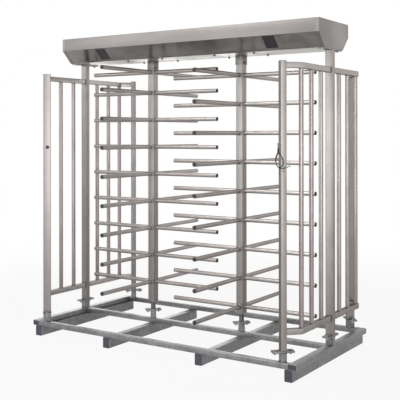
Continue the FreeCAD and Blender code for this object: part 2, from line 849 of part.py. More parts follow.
def arm_tube(body, level):
    ring = new_sketch(body, "YZ_Plane", "column_side / 2")
    add_circle(ring, "arm_radius", ("0", level))
    add_circle(ring, "arm_radius - arm_wall", ("0", level))
    return add_pad(body, ring, "arm_reach - cap_head - column_side / 2")


# A cap is turned from one profile about the arm's own axis
def arm_cap(body, level):
    tube_end = "(arm_reach - cap_head)"
    spigot_radius = "(arm_radius - arm_wall - cap_gap)"
    profile = new_sketch(body, "XZ_Plane")
    corners = [
        (f"{tube_end} - cap_spigot", "0"),
        (f"{tube_end} - cap_spigot", spigot_radius),
        (tube_end, spigot_radius),
        (tube_end, "arm_radius"),
        ("arm_reach - cap_chamfer", "arm_radius"),
        ("arm_reach", "arm_radius - cap_chamfer"),
        ("arm_reach", "0"),
    ]
    add_polygon(profile, [(x, f"{level} + {z}") for x, z in corners])
    turned = body.newObject("PartDesign::Revolution", "turned")
    turned.Profile = profile
    turned.ReferenceAxis = (profile, ["Edge7"])
    turned.Angle = full_turn
    return turned


def make_heads():
    blank = block("head_blank", "head_plate_length", "head_plate_width", "head_plate_thickness")
    holes = [rod("head_shaft_hole", shaft_hole_radius, "head_plate_thickness")]
    screws = []
    for index, (x, y) in enumerate(screw_places):
        hole_at = (x, y, "0")
        holes.append(rod(f"head_hole_{index}", screw_hole_radius, "head_plate_thickness", hole_at))
        steps = [("screw_head_radius", "screw_head"),
                 ("screw_radius", "tray_thickness + head_plate_thickness")]
        screws.append(place(stepped(f"tray_screw_{index}", steps), (x, y, "0")))
    keep_pair("head_plates", cut("head_plate", blank, *holes), ("0", "0", head_plate_bottom))
    screw_set = together("tray_screw_set", screws)
    keep_pair("tray_screws", screw_set, ("0", "0", f"{canopy_bottom} - screw_head"))
    ring = rod("bearing_ring", "bearing_radius", "bearing_height")
    bore = rod("bearing_bore", shaft_bore_radius, "bearing_height")
    keep_pair("head_bearings", cut("bearing", ring, bore), ("0", "0", head_plate_top))
    shaft = rod("drive_shaft", "shaft_radius", f"{shaft_top} - {sleeve_top_face}")
    keep_each("drive_shaft", shaft, ("0", "0", sleeve_top_face))


# A cutter that widens outwards from the axis, turned about it by an angle
def radial_cutter(name, radii, half_widths, height, turn):
    wedge = doc.addObject("Part::Wedge", name)
    inner_half, outer_half = half_widths
    bind(wedge, Ymin=radii[0], Ymax=radii[1], Zmin="0", Z2min="0", Zmax=height, Z2max=height)
    bind(wedge, Xmin=f"-{inner_half}", Xmax=inner_half, X2min=f"-{outer_half}", X2max=outer_half)
    return place(wedge, turn=turn - right_angle)


# A wheel on a round hub, cut all round its rim. The first cut lies on +X.
def rimmed_wheel(name, radius, thickness, hub, count, radii, half_widths):
    hub_radius, hub_length = hub
    cutters = [
        radial_cutter(f"{name}_cutter_{index}", radii, half_widths, thickness, index * full_turn / count)
        for index in range(count)
    ]
    rim = cut(f"{name}_rim", rod(f"{name}_blank", radius, thickness), together(f"{name}_cuts", cutters))
    place(rim, ("0", "0", hub_length))
    return join(name, rim, rod(f"{name}_hub", hub_radius, hub_length))


def make_lock_discs():
    radii = ("disc_radius - notch_depth", "disc_radius + notch_depth")
    half_widths = ("notch_width / 2", "notch_width / 2")
    disc = rimmed_wheel("lock_disc", "disc_radius", "disc_thickness", ("boss_radius", "disc_boss"),
                        notches, radii, half_widths)
    bore = rod("lock_disc_bore", shaft_bore_radius, "disc_boss + disc_thickness")
    keep_each("lock_disc", cut("lock_disc_bored", disc, bore), ("0", "0", f"{disc_bottom} - disc_boss"))


# Half the gap between two teeth at a radius. The flanks are straight, and lean by the
# pressure angle from the line through their own place on the pitch circle.
def half_gap(teeth, radius):
    pitch_radius = f"({teeth} * tooth_module / 2)"
    at_pitch = f"({math.pi} * tooth_module / 4 + backlash / 4)"
    lean = math.radians(pressure_angle + full_turn / teeth / 4)
    return f"({at_pitch} + ({radius} - {pitch_radius}) * {math.tan(lean)})"


def toothed_wheel(name, teeth, hub):
    tip = f"(({teeth} / 2 + {addendum}) * tooth_module)"
    root = f"(({teeth} / 2 - {dedendum}) * tooth_module)"
    beyond = f"({tip} + tooth_module / 4)"
    half_widths = (half_gap(teeth, root), half_gap(teeth, beyond))
    return rimmed_wheel(name, tip, "gear_thickness", hub, teeth, (root, beyond), half_widths)


def make_rotor_gears():
    gear = toothed_wheel("rotor_gear", gear_teeth, ("boss_radius", "gear_boss"))
    bore = rod("rotor_gear_bore", shaft_bore_radius, "gear_boss + gear_thickness")
    keep_each("rotor_gear", cut("rotor_gear_bored", gear, bore), ("0", "0", disc_top))


# Each damper stands left of its rotor, one gear centre distance away.
# Its pinion is turned by half a tooth, so that a tooth lies in the gear's gap.
def make_dampers():
    centre_distance = f"({gear_teeth + pinion_teeth} * tooth_module / 2)"
    shaft = ("damper_shaft_radius", "damper_shaft_length")
    pinion = toothed_wheel("damper_pinion", pinion_teeth, shaft)
    pinion_at = (f"-{centre_distance}", "0", f"{gear_bottom} - damper_shaft_length")
    keep_each("damper_pinion", pinion, pinion_at, full_turn / pinion_teeth / 2)
    height = f"({gear_bottom} - damper_gap - {head_plate_top})"
    depth = "(damper_shaft_length - damper_gap)"
    can = rod("damper_can", "damper_radius", height)
    bore_at = ("0", "0", f"{height} - {depth}")
    bore = rod("damper_bore", "damper_shaft_radius + fit_gap", depth, bore_at)
    keep_pair("damper_bodies", cut("damper", can, bore), (f"-{centre_distance}", "0", head_plate_top))


# The pawl's pivot stands right of the disc and in front of it.
# At rest the nose is clear of the disc, and a few degrees about the pivot seat it in a notch.
pivot_x = "(disc_radius + nose_gap + nose_length + lever_width / 2)"
disc_middle = f"({disc_bottom} + disc_thickness / 2)"
pawl_bottom = f"({disc_middle} - pawl_thickness / 2)"


def make_lock_pawls():
    body = new_body("lock_pawl")
    outline = new_sketch(body, "XY_Plane")
    half = "lever_width / 2"
    nose_x = f"-({half} + nose_length)"
    root = "nose_width / 2"
    tip = "(nose_width / 2 - nose_taper)"
    corners = [
        (half, f"-{half}"),
        (half, "nose_reach + lever_end"),
        (f"-{half}", "nose_reach + lever_end"),
        (f"-{half}", f"nose_reach + {root}"),
        (nose_x, f"nose_reach + {tip}"),
        (nose_x, f"nose_reach - {tip}"),
        (f"-{half}", f"nose_reach - {root}"),
        (f"-{half}", f"-{half}"),
    ]
    add_polygon(outline, corners)
    add_pad(body, outline, "pawl_thickness")
    bore = new_sketch(body, "XY_Plane", "pawl_thickness")
    add_circle(bore, "pin_radius + fit_gap")
    body.Tip = add_pocket(body, bore, "pawl_thickness")
    keep_each("lock_pawl", body, (pivot_x, "-pivot_offset", pawl_bottom))

    pin_at = (pivot_x, "-pivot_offset", head_plate_top)
    shoulder = f"({pawl_bottom} - fit_gap - {head_plate_top})"
    steps = [("pin_shoulder_radius", shoulder), ("pin_radius", "fit_gap + pawl_thickness + pin_end")]
    keep_pair("pawl_pins", stepped("pawl_pin", steps), pin_at)
    inner = "(pin_shoulder_radius + spring_gap)"
    coil = rod("spring_coil", f"{inner} + spring_wire", "spring_height")
    keep_pair("pawl_springs", cut("spring", coil, rod("spring_bore", inner, "spring_height")), pin_at)


# The plunger lies along X and pushes the back of the lever towards the disc
def make_solenoids():
    lever_back = f"({pivot_x} + lever_width / 2)"
    push_y = "(push_reach - pivot_offset)"
    stem_length = "(plunger_front + solenoid_length + plunger_back - plunger_gap)"
    stem = rod("plunger_stem", "plunger_radius", stem_length, turn=right_angle, axis=y_axis)
    collar = rod("plunger_collar", "collar_radius", "collar_thickness", (stem_length, "0", "0"),
                 right_angle, y_axis)
    plunger_at = (f"{lever_back} + plunger_gap", push_y, disc_middle)
    keep_each("lock_plunger", join("plunger", stem, collar), plunger_at)
    height = f"({disc_middle} + solenoid_roof - {head_plate_top})"
    case = block("solenoid_case", "solenoid_length", "solenoid_width", height)
    bore_at = ("-solenoid_length / 2", "0", f"{disc_middle} - {head_plate_top}")
    bore = rod("solenoid_bore", "plunger_radius + fit_gap", "solenoid_length", bore_at,
               right_angle, y_axis)
    solenoid_at = (f"{lever_back} + plunger_front + solenoid_length / 2", push_y, head_plate_top)
    keep_pair("solenoid_bodies", cut("solenoid", case, bore), solenoid_at)


# The reader lead hangs from its gland on the front right post, in a loop before the edge.
# Each point is a place in the post's turned frame, from the middle of the gland's mouth:
# out of the post's wide front face, to the right across that face, and up.
lead_points = [
    (0, 0, 0),
    (0, 0, -18),
    (1, -1, -37),
    (5, -9, -54),
    (11, -17, -73),
    (16, -21, -95),
    (20, -18, -116),
    (23, -6, -131),
    (25, 11, -133),
    (26, 24, -121),
    (27, 28, -101),
    (28, 25, -80),
    (28, 17, -63),
    (23, 8, -51),
    (16, 0, -42),
    (11, -10, -42),
    (14, -18, -53),
    (20, -23, -70),
    (25, -25, -91),
    (29, -22, -112),
    (32, -11, -130),
    (33, 7, -141),
    (32, 28, -139),
    (30, 46, -132),
    (28, 62, -127),
    (26, 76, -123),
]
# The boot widens from the gland's mouth to hold the loop's tied top against the first strand
boot_end = (8, -2, -44)
arc_share = 0.45


# Straight runs joined by tangent arcs, each as large as its two runs allow
def lead_path(points):
    places = [FreeCAD.Vector(*point) for point in points]
    edges = []
    start = places[0]
    for before, corner, after in zip(places, places[1:], places[2:]):
        arriving = (before - corner).normalize()
        leaving = (after - corner).normalize()
        half_turn = (math.pi - arriving.getAngle(leaving)) / 2
        trim = arc_share * min(before.distanceToPoint(corner), after.distanceToPoint(corner))
        radius = trim / math.tan(half_turn)
        print(f"lead arc radius {radius:.1f}")
        first = corner + arriving * trim
        last = corner + leaving * trim
        inward = (arriving + leaving).normalize()
        centre = corner + inward * (trim / math.sin(half_turn))
        middle = centre - inward * radius
        edges.append(Part.LineSegment(start, first).toShape())
        edges.append(Part.Arc(first, middle, last).toShape())
        start = last
    edges.append(Part.LineSegment(start, places[-1]).toShape())
    return Part.Wire(edges)


def make_reader_lead():
    path = lead_path(lead_points)
    radius = float(sheet.get("lead_radius"))
    start = path.Edges[0].Vertexes[0].Point
    along = path.Edges[0].tangentAt(path.Edges[0].FirstParameter)
    section = Part.Wire([Part.Circle(start, along, radius).toShape()])
    tube = path.makePipeShell([section], True, False)
    expected = math.pi * radius ** 2 * path.Length
    print(f"lead length {path.Length:.1f}, volume {tube.Volume:.1f}, section by length {expected:.1f}")
    rings = [(start, "gland_mouth_radius"), (FreeCAD.Vector(*boot_end), "boot_radius")]
    outlines = []
    for middle, size in rings:
        outlines.append(Part.Wire([Part.Circle(middle, along, float(sheet.get(size))).toShape()]))
    boot = Part.makeLoft(outlines, True)
    lead = doc.addObject("Part::Feature", "reader_lead")
    lead.Shape = tube.fuse(boot)
    mouth = (f"{corner_x} + ({gland_side} - {gland_axis}) / sqrt(2)",
             f"-{corner_y} - ({gland_side} + {gland_axis}) / sqrt(2)",
             "lead_rise - gland_drop - gland_taper")
    place(lead, mouth, -half_right_angle)
    keep(lead, "reader_lead")


# A bent gland: its neck fills the hole, and its tapered mouth points down at the lead
def make_lead_gland():
    face = "-post_along / 2"
    sideways = f"-{gland_side}"
    neck = rod("gland_neck", "gland_neck_radius", "post_wall", (face, sideways, "0"),
               right_angle, y_axis)
    flange = rod("gland_flange", "gland_flange_radius", "gland_flange",
                 (f"{face} - gland_flange", sideways, "0"), right_angle, y_axis)
    arm = rod("gland_arm", "gland_radius", "gland_reach", (f"-{gland_axis}", sideways, "0"),
              right_angle, y_axis)
    knee = doc.addObject("Part::Sphere", "gland_knee")
    bind(knee, Radius="gland_radius")
    place(knee, (f"-{gland_axis}", sideways, "0"))
    drop = rod("gland_drop", "gland_radius", "gland_drop", (f"-{gland_axis}", sideways, "-gland_drop"))
    taper = doc.addObject("Part::Cone", "gland_taper")
    bind(taper, Radius1="gland_mouth_radius", Radius2="gland_radius", Height="gland_taper")
    place(taper, (f"-{gland_axis}", sideways, "-gland_drop - gland_taper"))
    gland = together("gland_piece", [join("gland", neck, flange, arm, knee, drop, taper)])
    keep_turned("lead_gland", gland, (corner_x, f"-{corner_y}", "lead_rise"), half_right_angle)


# Small flanged inserts in the posts' drilled walls, each about its own Z axis
def make_post_inserts():
    plug_steps = [("plug_neck_radius", "post_wall"), ("plug_radius", "plug_flange")]
    plug = together("plug_piece", [stepped("plug", plug_steps)])
    place(plug, ("-plug_offset", "-post_across / 2 + post_wall", "0"), right_angle, x_axis)
    keep_turned("post_hole_plug", plug, (corner_x, f"-{corner_y}", "plug_rise"), half_right_angle)

    dot_steps = [("dot_radius - fit_gap", "post_wall"), ("dot_radius + dot_flange", "dot_flange")]
    dot = together("dot_piece", [stepped("dot", dot_steps)])
    place(dot, ("post_along / 2 - post_wall", "dot_offset", "0"), right_angle, y_axis)
    turn = -half_right_angle
    keep_turned("status_light", dot, (f"-{corner_x}", f"-{corner_y}", "dot_rise"), turn)


def keep_turned(label, piece, at, turn):
    place(group(label, [piece]), at, turn)


make_skid()
make_feet()
make_corner_posts()
make_mid_posts()
make_fence_rails("fence_straight_rails", straight_rail_outline)
make_fence_rails("fence_angled_rails", angled_rail_outline)
make_fence_bars()
make_canopy_panel("canopy_front_panel", front)
make_canopy_panel("canopy_back_panel", back)
make_canopy_lid()
make_canopy_end_plates()
make_canopy_tray()
make_windows()
make_control_box()
make_rotor_feet()
make_rotor_columns()
make_rotor_sleeves()
left_levels = (f"-{rotor_x}", left_low_arm, "(arm_levels - 1)", left_top_arm)
right_levels = (rotor_x, right_low_arm, "arm_levels", None)
for side_name, levels in (("left", left_levels), ("right", right_levels)):
    make_rotor_levels(f"{side_name}_rotor_arms", *levels, arm_tube)
    make_rotor_levels(f"{side_name}_arm_caps", *levels, arm_cap)
make_heads()
make_lock_discs()
make_rotor_gears()
make_dampers()
make_lock_pawls()
make_solenoids()
make_reader_lead()
make_lead_gland()
make_post_inserts()
doc.recompute()

for member in doc.Objects:
    if {"Invalid", "Error"} & set(member.State):
        raise RuntimeError(f"{member.Label} failed: {member.State}")
for subpart in subparts:
    if subpart.Shape.isNull() or not subpart.Shape.isValid():
        raise RuntimeError(f"{subpart.Label} has no valid shape")

os.makedirs("parts", exist_ok=True)
for subpart in subparts:
    subpart.Shape.exportStep(f"parts/{subpart.Label}.step")
print(f"{len(subparts)} sub-parts written")
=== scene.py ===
import math

import bmesh
import bpy
from mathutils import Matrix, Vector


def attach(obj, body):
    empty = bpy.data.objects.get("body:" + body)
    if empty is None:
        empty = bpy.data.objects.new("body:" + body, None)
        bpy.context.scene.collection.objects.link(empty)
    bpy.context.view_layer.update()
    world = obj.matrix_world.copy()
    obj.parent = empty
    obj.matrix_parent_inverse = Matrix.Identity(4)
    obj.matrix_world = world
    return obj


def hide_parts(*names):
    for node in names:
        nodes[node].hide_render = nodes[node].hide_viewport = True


# A double full height turnstile on a movable skid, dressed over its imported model.
# Metres, +Z up, +X along the canopy and -Y to the front.
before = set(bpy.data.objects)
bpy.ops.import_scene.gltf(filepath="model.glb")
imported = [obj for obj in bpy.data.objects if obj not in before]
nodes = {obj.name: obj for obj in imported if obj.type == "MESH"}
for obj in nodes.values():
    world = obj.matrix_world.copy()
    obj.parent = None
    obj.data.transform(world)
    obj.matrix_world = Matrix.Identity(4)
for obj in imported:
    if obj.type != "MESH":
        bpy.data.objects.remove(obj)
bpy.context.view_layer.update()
print("frame loaded:", len(nodes), "nodes")


# The named values of one part
class Values:
    def __init__(self, **named):
        self.__dict__.update(named)


def addObject(name, data):
    made = bpy.data.objects.new(name, data)
    bpy.context.scene.collection.objects.link(made)
    return made


def rotation(degrees, axis):
    return Matrix.Rotation(math.radians(degrees), 4, axis)


# Camera
photoView = Values(
    eye=(3.5783, -5.1491, 1.6188),
    yaw=32.42,
    pitch=0.02,
    roll=-0.07,
    lens=71.10,
    shift=(-0.0710, -0.1637),
)


def makeCamera(view):
    data = bpy.data.cameras.new("photoCamera")
    data.sensor_width = 36
    data.lens = view.lens
    data.shift_x, data.shift_y = view.shift
    data.clip_end = 100
    camera = addObject("photoCamera", data)
    heading = rotation(view.yaw, "Z")
    tilt = rotation(90 + view.pitch, "X")
    roll = rotation(view.roll, "Z")
    camera.matrix_world = Matrix.Translation(view.eye) @ heading @ tilt @ roll
    bpy.context.scene.camera = camera


makeCamera(photoView)


# Node graphs
# A value in a node graph: an expression on it adds its Math nodes
class Signal:
    def __init__(self, graph, socket):
        self.graph = graph
        self.socket = socket

    # 0 below the first value, 1 above the second, and a soft step between them
    def ramp(self, low, high):
        inputs = {"Value": self, "From Min": low, "From Max": high}
        return self.graph.node("ShaderNodeMapRange", inputs,
                               interpolation_type="SMOOTHSTEP").out()


# Gives signals an operator or a method that adds one Math node
def addMath(name, operation, swapped=False):
    def result(self, other=0.0):
        first, second = (other, self) if swapped else (self, other)
        inputs = {0: first, 1: second}
        return self.graph.node("ShaderNodeMath", inputs, operation=operation).out()

    setattr(Signal, name, result)


for name, operation in (
        ("__add__", "ADD"), ("__radd__", "ADD"), ("__mul__", "MULTIPLY"),
        ("__rmul__", "MULTIPLY"), ("__sub__", "SUBTRACT"), ("__truediv__", "DIVIDE"),
        ("__pow__", "POWER"), ("__gt__", "GREATER_THAN"), ("__lt__", "LESS_THAN"),
        ("floor", "FLOOR"), ("modulo", "MODULO"), ("largest", "MAXIMUM")):
    addMath(name, operation)
addMath("__rsub__", "SUBTRACT", swapped=True)


# A node just made, whose outputs are read as signals
class NodeCard:
    def __init__(self, graph, node):
        self.graph = graph
        self.node = node

    def out(self, name=0):
        return Signal(self.graph, self.node.outputs[name])


class Graph:
    def __init__(self, tree):
        self.tree = tree
        tree.nodes.clear()

    def feed(self, socket, value):
        if isinstance(value, Signal):
            self.tree.links.new(value.socket, socket)
        else:
            socket.default_value = value

    # Any node: its settings come first, then the values or links of its sockets
    def node(self, kind, inputs=None, **settings):
        made = self.tree.nodes.new(kind)
        for key, value in settings.items():
            setattr(made, key, value)
        for key, value in (inputs or {}).items():
            self.feed(made.inputs[key], value)
        return NodeCard(self, made)


# A material with one shader, and the patterns that its colours and bumps are made of
class Finish(Graph):
    def __init__(self, name):
        material = bpy.data.materials.new(name)
        material.use_nodes = True
        super().__init__(material.node_tree)
        self.material = material
        self.shader = self.node("ShaderNodeBsdfPrincipled")
        self.node("ShaderNodeOutputMaterial", {"Surface": self.shader.out()})

    def set(self, **values):
        for name, value in values.items():
            self.feed(self.shader.node.inputs[name.replace("_", " ")], value)

    def place(self):
        return self.node("ShaderNodeTexCoord").out("Object")

    def grain(self):
        return self.node("ShaderNodeUVMap", uv_map="grain").out()

    def split(self, vector):
        card = self.node("ShaderNodeSeparateXYZ", {0: vector})
        return card.out("X"), card.out("Y"), card.out("Z")

    def stretched(self, vector, scale):
        return self.node("ShaderNodeMapping", {"Vector": vector, "Scale": scale}).out()

    def noise(self, vector, scale, detail=3.0, roughness=0.5):
        inputs = {"Vector": vector, "Scale": scale, "Detail": detail, "Roughness": roughness}
        return self.node("ShaderNodeTexNoise", inputs).out()

    # One random value for each cell
    def cells(self, vector, scale):
        inputs = {"Vector": vector, "Scale": scale}
        return self.split(self.node("ShaderNodeTexVoronoi", inputs).out("Color"))[0]

    def blendColours(self, share, low, high):
        inputs = {0: share}
        for index, colour in ((6, low), (7, high)):
            inputs[index] = colour if isinstance(colour, Signal) else (*colour, 1.0)
        return self.node("ShaderNodeMix", inputs, data_type="RGBA", blend_type="MIX").out(2)

    def bump(self, height, distance, strength):
        inputs = {"Height": height, "Distance": distance, "Strength": strength}
        return self.node("ShaderNodeBump", inputs).out()


# Finishes
# Colours are linear. Grain runs along a tube's own length, held in its grain map.
tubeLook = Values(
    bright=(0.37, 0.345, 0.332),
    dull=(0.265, 0.246, 0.237),
    stainAndShade=(0.15, 0.139, 0.134),
    tint=(0.4, 0.37, 0.35, 1.0),
    metallic=0.8,
    roughness=0.3,
    grain=(900, 9, 1),  # brush marks per metre round the tube and along it
    grainDepth=0.00012,
    clouds=3.5,
    spots=34.0,
    dustTop=1.6,  # painted shade: the tubes are painted darker, and rougher, below this height
    # painted shade: how much darker the tubes get low down, and how much of the stain colour
    # they take
    lowerDark=0.24,
    paintedLowShadeMix=0.28,
)


# A look with some of its values changed
def varied(look, **changes):
    return Values(**{**vars(look), **changes})


barLook = varied(tubeLook, lowerDark=0.14, bright=(0.41, 0.362, 0.352),
                 dull=(0.28, 0.243, 0.237), roughness=0.24)
armLook = varied(tubeLook, lowerDark=0.14, bright=(0.40, 0.371, 0.357),
                 dull=(0.285, 0.264, 0.255), roughness=0.22)
railLook = varied(tubeLook, lowerDark=0.0, metallic=0.92, roughness=0.2)
# Painted shade: a darker copy of the tube steel for the rotor columns and the left mid post,
# with stronger painted shade reaching up to 2.4 m
shadedColumnLook = varied(tubeLook, bright=(0.34, 0.316, 0.304), dull=(0.235, 0.218, 0.21),
                    dustTop=2.4, lowerDark=0.32)
# Painted shadow: the sleeves just under the canopy are darker still, standing in for the
# canopy's shadow on them
canopyShadowSleeveLook = varied(shadedColumnLook, bright=(0.21, 0.195, 0.188), dull=(0.15, 0.14, 0.135))


def brushedTube(name, look):
    finish = Finish(name)
    place = finish.place()
    streaks = finish.noise(finish.stretched(finish.grain(), look.grain), 1.0, 4.0)
    clouds = finish.noise(place, look.clouds, 4.0, 0.6)
    spots = finish.noise(place, look.spots, 3.0, 0.65)
    height = finish.split(place)[2]
    # Painted shade: the colour darkens and mixes toward the stain colour lower down; the random
    # spots are real stains
    lower = 1 - height.ramp(0.0, look.dustTop)
    tone = (streaks * 0.4 + clouds * 0.6 - lower * look.lowerDark).ramp(0.22, 0.64)
    base = finish.blendColours(tone, look.dull, look.bright)
    stainAndLowShade = (spots * 0.6 + lower * look.paintedLowShadeMix).ramp(0.45, 0.9) * 0.5
    base = finish.blendColours(stainAndLowShade, base, look.stainAndShade)
    finish.set(Base_Color=base, Metallic=look.metallic, Specular_Tint=look.tint)
    finish.set(Roughness=look.roughness + streaks * 0.14 + stainAndLowShade * 0.4)
    finish.set(Normal=finish.bump(streaks, look.grainDepth, 0.6))
    return finish.material


sheetLook = Values(
    bright=(0.275, 0.258, 0.248),
    dull=(0.225, 0.211, 0.203),
    # painted reflection: the leaning faces' darker colours stand in for the dark ground they
    # reflect
    shadedSlopeBright=(0.27, 0.253, 0.245),
    shadedSlopeDull=(0.13, 0.122, 0.119),
    grain=(7, 700, 700),
    grainDepth=0.00008,
    clouds=(1.2, 3, 3),
    metallic=0.8,
    roughness=0.38,
    slopeMetallic=0.1,  # what the slopes add to the metallic value
    slopeGloss=0.28,  # and take from the roughness
    slopeFrom=-0.4,  # a slope's normal points down by between these two
    slopeTo=-0.95,
)


# Satin sheet with level grain. The leaning faces below are glossier, and painted darker as a
# painted reflection of the dark ground below them.
def brushedSheet(name, look):
    finish = Finish(name)
    place = finish.place()
    streaks = finish.noise(finish.stretched(place, look.grain), 1.0, 4.0)
    clouds = finish.noise(finish.stretched(place, look.clouds), 1.6, 4.0, 0.6)
    tone = (streaks * 0.35 + clouds * 0.65).ramp(0.32, 0.7)
    face = finish.blendColours(tone, look.dull, look.bright)
    shadedSlope = finish.blendColours(tone, look.shadedSlopeDull, look.shadedSlopeBright)
    normal = finish.node("ShaderNodeNewGeometry").out("True Normal")
    up = finish.split(normal)[2]
    leaning = (up < look.slopeFrom) * (up > look.slopeTo)
    finish.set(Base_Color=finish.blendColours(leaning, face, shadedSlope))
    finish.set(Metallic=look.metallic + leaning * look.slopeMetallic)
    finish.set(Roughness=look.roughness + streaks * 0.14 - leaning * look.slopeGloss)
    finish.set(Normal=finish.bump(streaks, look.grainDepth, 0.5))
    return finish.material


baseLook = Values(
    bright=(0.295, 0.293, 0.3),
    dull=(0.165, 0.164, 0.169),
    dirt=(0.14, 0.136, 0.134),
    metallic=0.6,
    roughness=0.36,
    spangles=55.0,
    clouds=5.0,
    splashes=22.0,
    splashDepth=0.0004,
    splashFade=1.6,  # how fast the dirt thins out upward
)


# Galvanised steel: flat spangles of zinc, dulled and splashed with dirt low down
def galvanised(name, look):
    finish = Finish(name)
    place = finish.place()
    spangle = finish.cells(place, look.spangles)
    clouds = finish.noise(place, look.clouds, 5.0, 0.6)
    tone = (spangle * 0.25 + clouds * 0.75).ramp(0.2, 0.8)
    base = finish.blendColours(tone, look.dull, look.bright)
    height = finish.split(place)[2]
    splash = finish.noise(place, look.splashes, 5.0, 0.7)
    dirt = (splash - height * look.splashFade + 0.12).ramp(0.45, 0.75) * 0.35
    base = finish.blendColours(dirt, base, look.dirt)
    finish.set(Base_Color=base, Metallic=look.metallic)
    finish.set(Roughness=look.roughness + spangle * 0.1 + dirt * 0.3)
    finish.set(Normal=finish.bump(splash, look.splashDepth, 0.4))
    return finish.material


# A plain metal or plastic with cloudy colour, fine bump and a little wear
def plainFinish(name, colour, roughness, metallic=0.0, spread=0.25, grain=260.0, coat=0.0):
    finish = Finish(name)
    place = finish.place()
    clouds = finish.noise(place, 18.0, 4.0, 0.6)
    fine = finish.noise(place, grain, 3.0)
    dark = tuple(part * (1 - spread) for part in colour)
    base = finish.blendColours((clouds * 0.6 + fine * 0.4).ramp(0.3, 0.7), dark, colour)
    finish.set(Base_Color=base, Metallic=metallic, Coat_Weight=coat)
    finish.set(Roughness=roughness + fine * 0.1)
    finish.set(Normal=finish.bump(fine, 0.00015, 0.5))
    return finish.material


finishes = {
    "stainless_tube": brushedTube("brushedTubeSteel", tubeLook),
    "canopy_sheet": brushedSheet("satinCanopySheet", sheetLook),
    "base_steel": galvanised("galvanisedSkidSteel", baseLook),
}

# Each slot's name, colour, roughness, metallic, spread of tone, grain per metre and coat
plainLooks = {
    "fastener_steel": ("zincPlatedSteel", (0.42, 0.42, 0.40), 0.32, 0.9),
    "turned_steel": ("turnedShaftSteel", (0.55, 0.55, 0.54), 0.22, 0.95, 0.12),
    "cap_plastic": ("darkCapPlastic", (0.026, 0.024, 0.026), 0.5, 0.0, 0.3),
    "window_pane": ("smokedPane", (0.016, 0.015, 0.022), 0.3, 0.0, 0.2, 90.0),
    "lamp_housing": ("lampHousingPlastic", (0.03, 0.03, 0.03), 0.5),
    "control_box_paint": ("greyCoatedSteel", (0.30, 0.31, 0.32), 0.45, 0.0, 0.1),
    "bush_bronze": ("oiledBronze", (0.36, 0.31, 0.25), 0.35, 1.0, 0.2),
    "bearing_iron": ("castBearingIron", (0.11, 0.11, 0.115), 0.6, 0.5, 0.3),
    "head_plate_steel": ("millHeadPlateSteel", (0.24, 0.24, 0.245), 0.45, 0.8, 0.3),
    "dark_housing": ("satinBlackHousing", (0.025, 0.025, 0.028), 0.4, 0.0, 0.2),
    "gear_steel": ("machinedGearSteel", (0.38, 0.38, 0.39), 0.28, 0.95, 0.15),
    "lead_jacket": ("blackLeadJacket", (0.022, 0.018, 0.018), 0.42, 0.0, 0.25),
    "gland_plastic": ("paleGlandPlastic", (0.46, 0.44, 0.41), 0.5),
    "plug_plastic": ("palePlugPlastic", (0.50, 0.48, 0.44), 0.45, 0.0, 0.12),
    "status_lens": ("redStatusLens", (0.17, 0.045, 0.07), 0.3, 0.0, 0.3, 120.0, 0.2),
}
for slot, look in plainLooks.items():
    finishes[slot] = plainFinish(*look)
for node in nodes.values():
    for index, slot in enumerate(node.data.materials):
        node.data.materials[index] = finishes[slot.name]

# Finishes that differ from their slot's own
warmBars = brushedTube("warmBarSteel", barLook)
brightRails = brushedTube("brightRailSteel", railLook)
paleArms = brushedTube("paleArmSteel", armLook)
shadedColumns = brushedTube("duskyColumnSteel", shadedColumnLook)
canopyShadowSleeves = brushedTube("duskySleeveSteel", canopyShadowSleeveLook)
paleTray = plainFinish("paleTraySheet", (0.56, 0.54, 0.5), 0.34, 0.7, 0.1, 40.0)
# Painted shade: the polished spindles' colour is darkened to stand in for the dark surroundings
# they reflect
shadedSpindle = plainFinish("polishedSpindleSteel", (0.22, 0.215, 0.21), 0.14, 0.9, 0.2)
bluePlugs = plainFinish("blueGreyPlugPlastic", (0.075, 0.07, 0.095), 0.45, 0.0, 0.3)
# Painted shade: the zinc-plated screws and nuts under the tray are painted near black for the
# shade they sit in
shadedScrews = plainFinish("blackenedScrewSteel", (0.045, 0.043, 0.042), 0.5, 0.3)
print("finishes made:", len(finishes))


# Mesh tools
mergeWithin = 0.00002
sharpFrom = 32  # degrees between faces that meet in a sharp edge
leastRadius = 0.0008


def roundedRing(width, depth, radius, steps=4):
    ring = []
    for corner, (sideX, sideY) in enumerate(((1, 1), (-1, 1), (-1, -1), (1, -1))):
        for step in range(steps + 1):
            angle = math.pi / 2 * (corner + step / steps)
            x = sideX * (width / 2 - radius) + radius * math.cos(angle)
            y = sideY * (depth / 2 - radius) + radius * math.sin(angle)
            ring.append((x, y))
    return ring


def circleRing(radius, count=28):
    turns = (2 * math.pi * (step + 0.5) / count for step in range(count))
    return [(radius * math.cos(turn), radius * math.sin(turn)) for turn in turns]


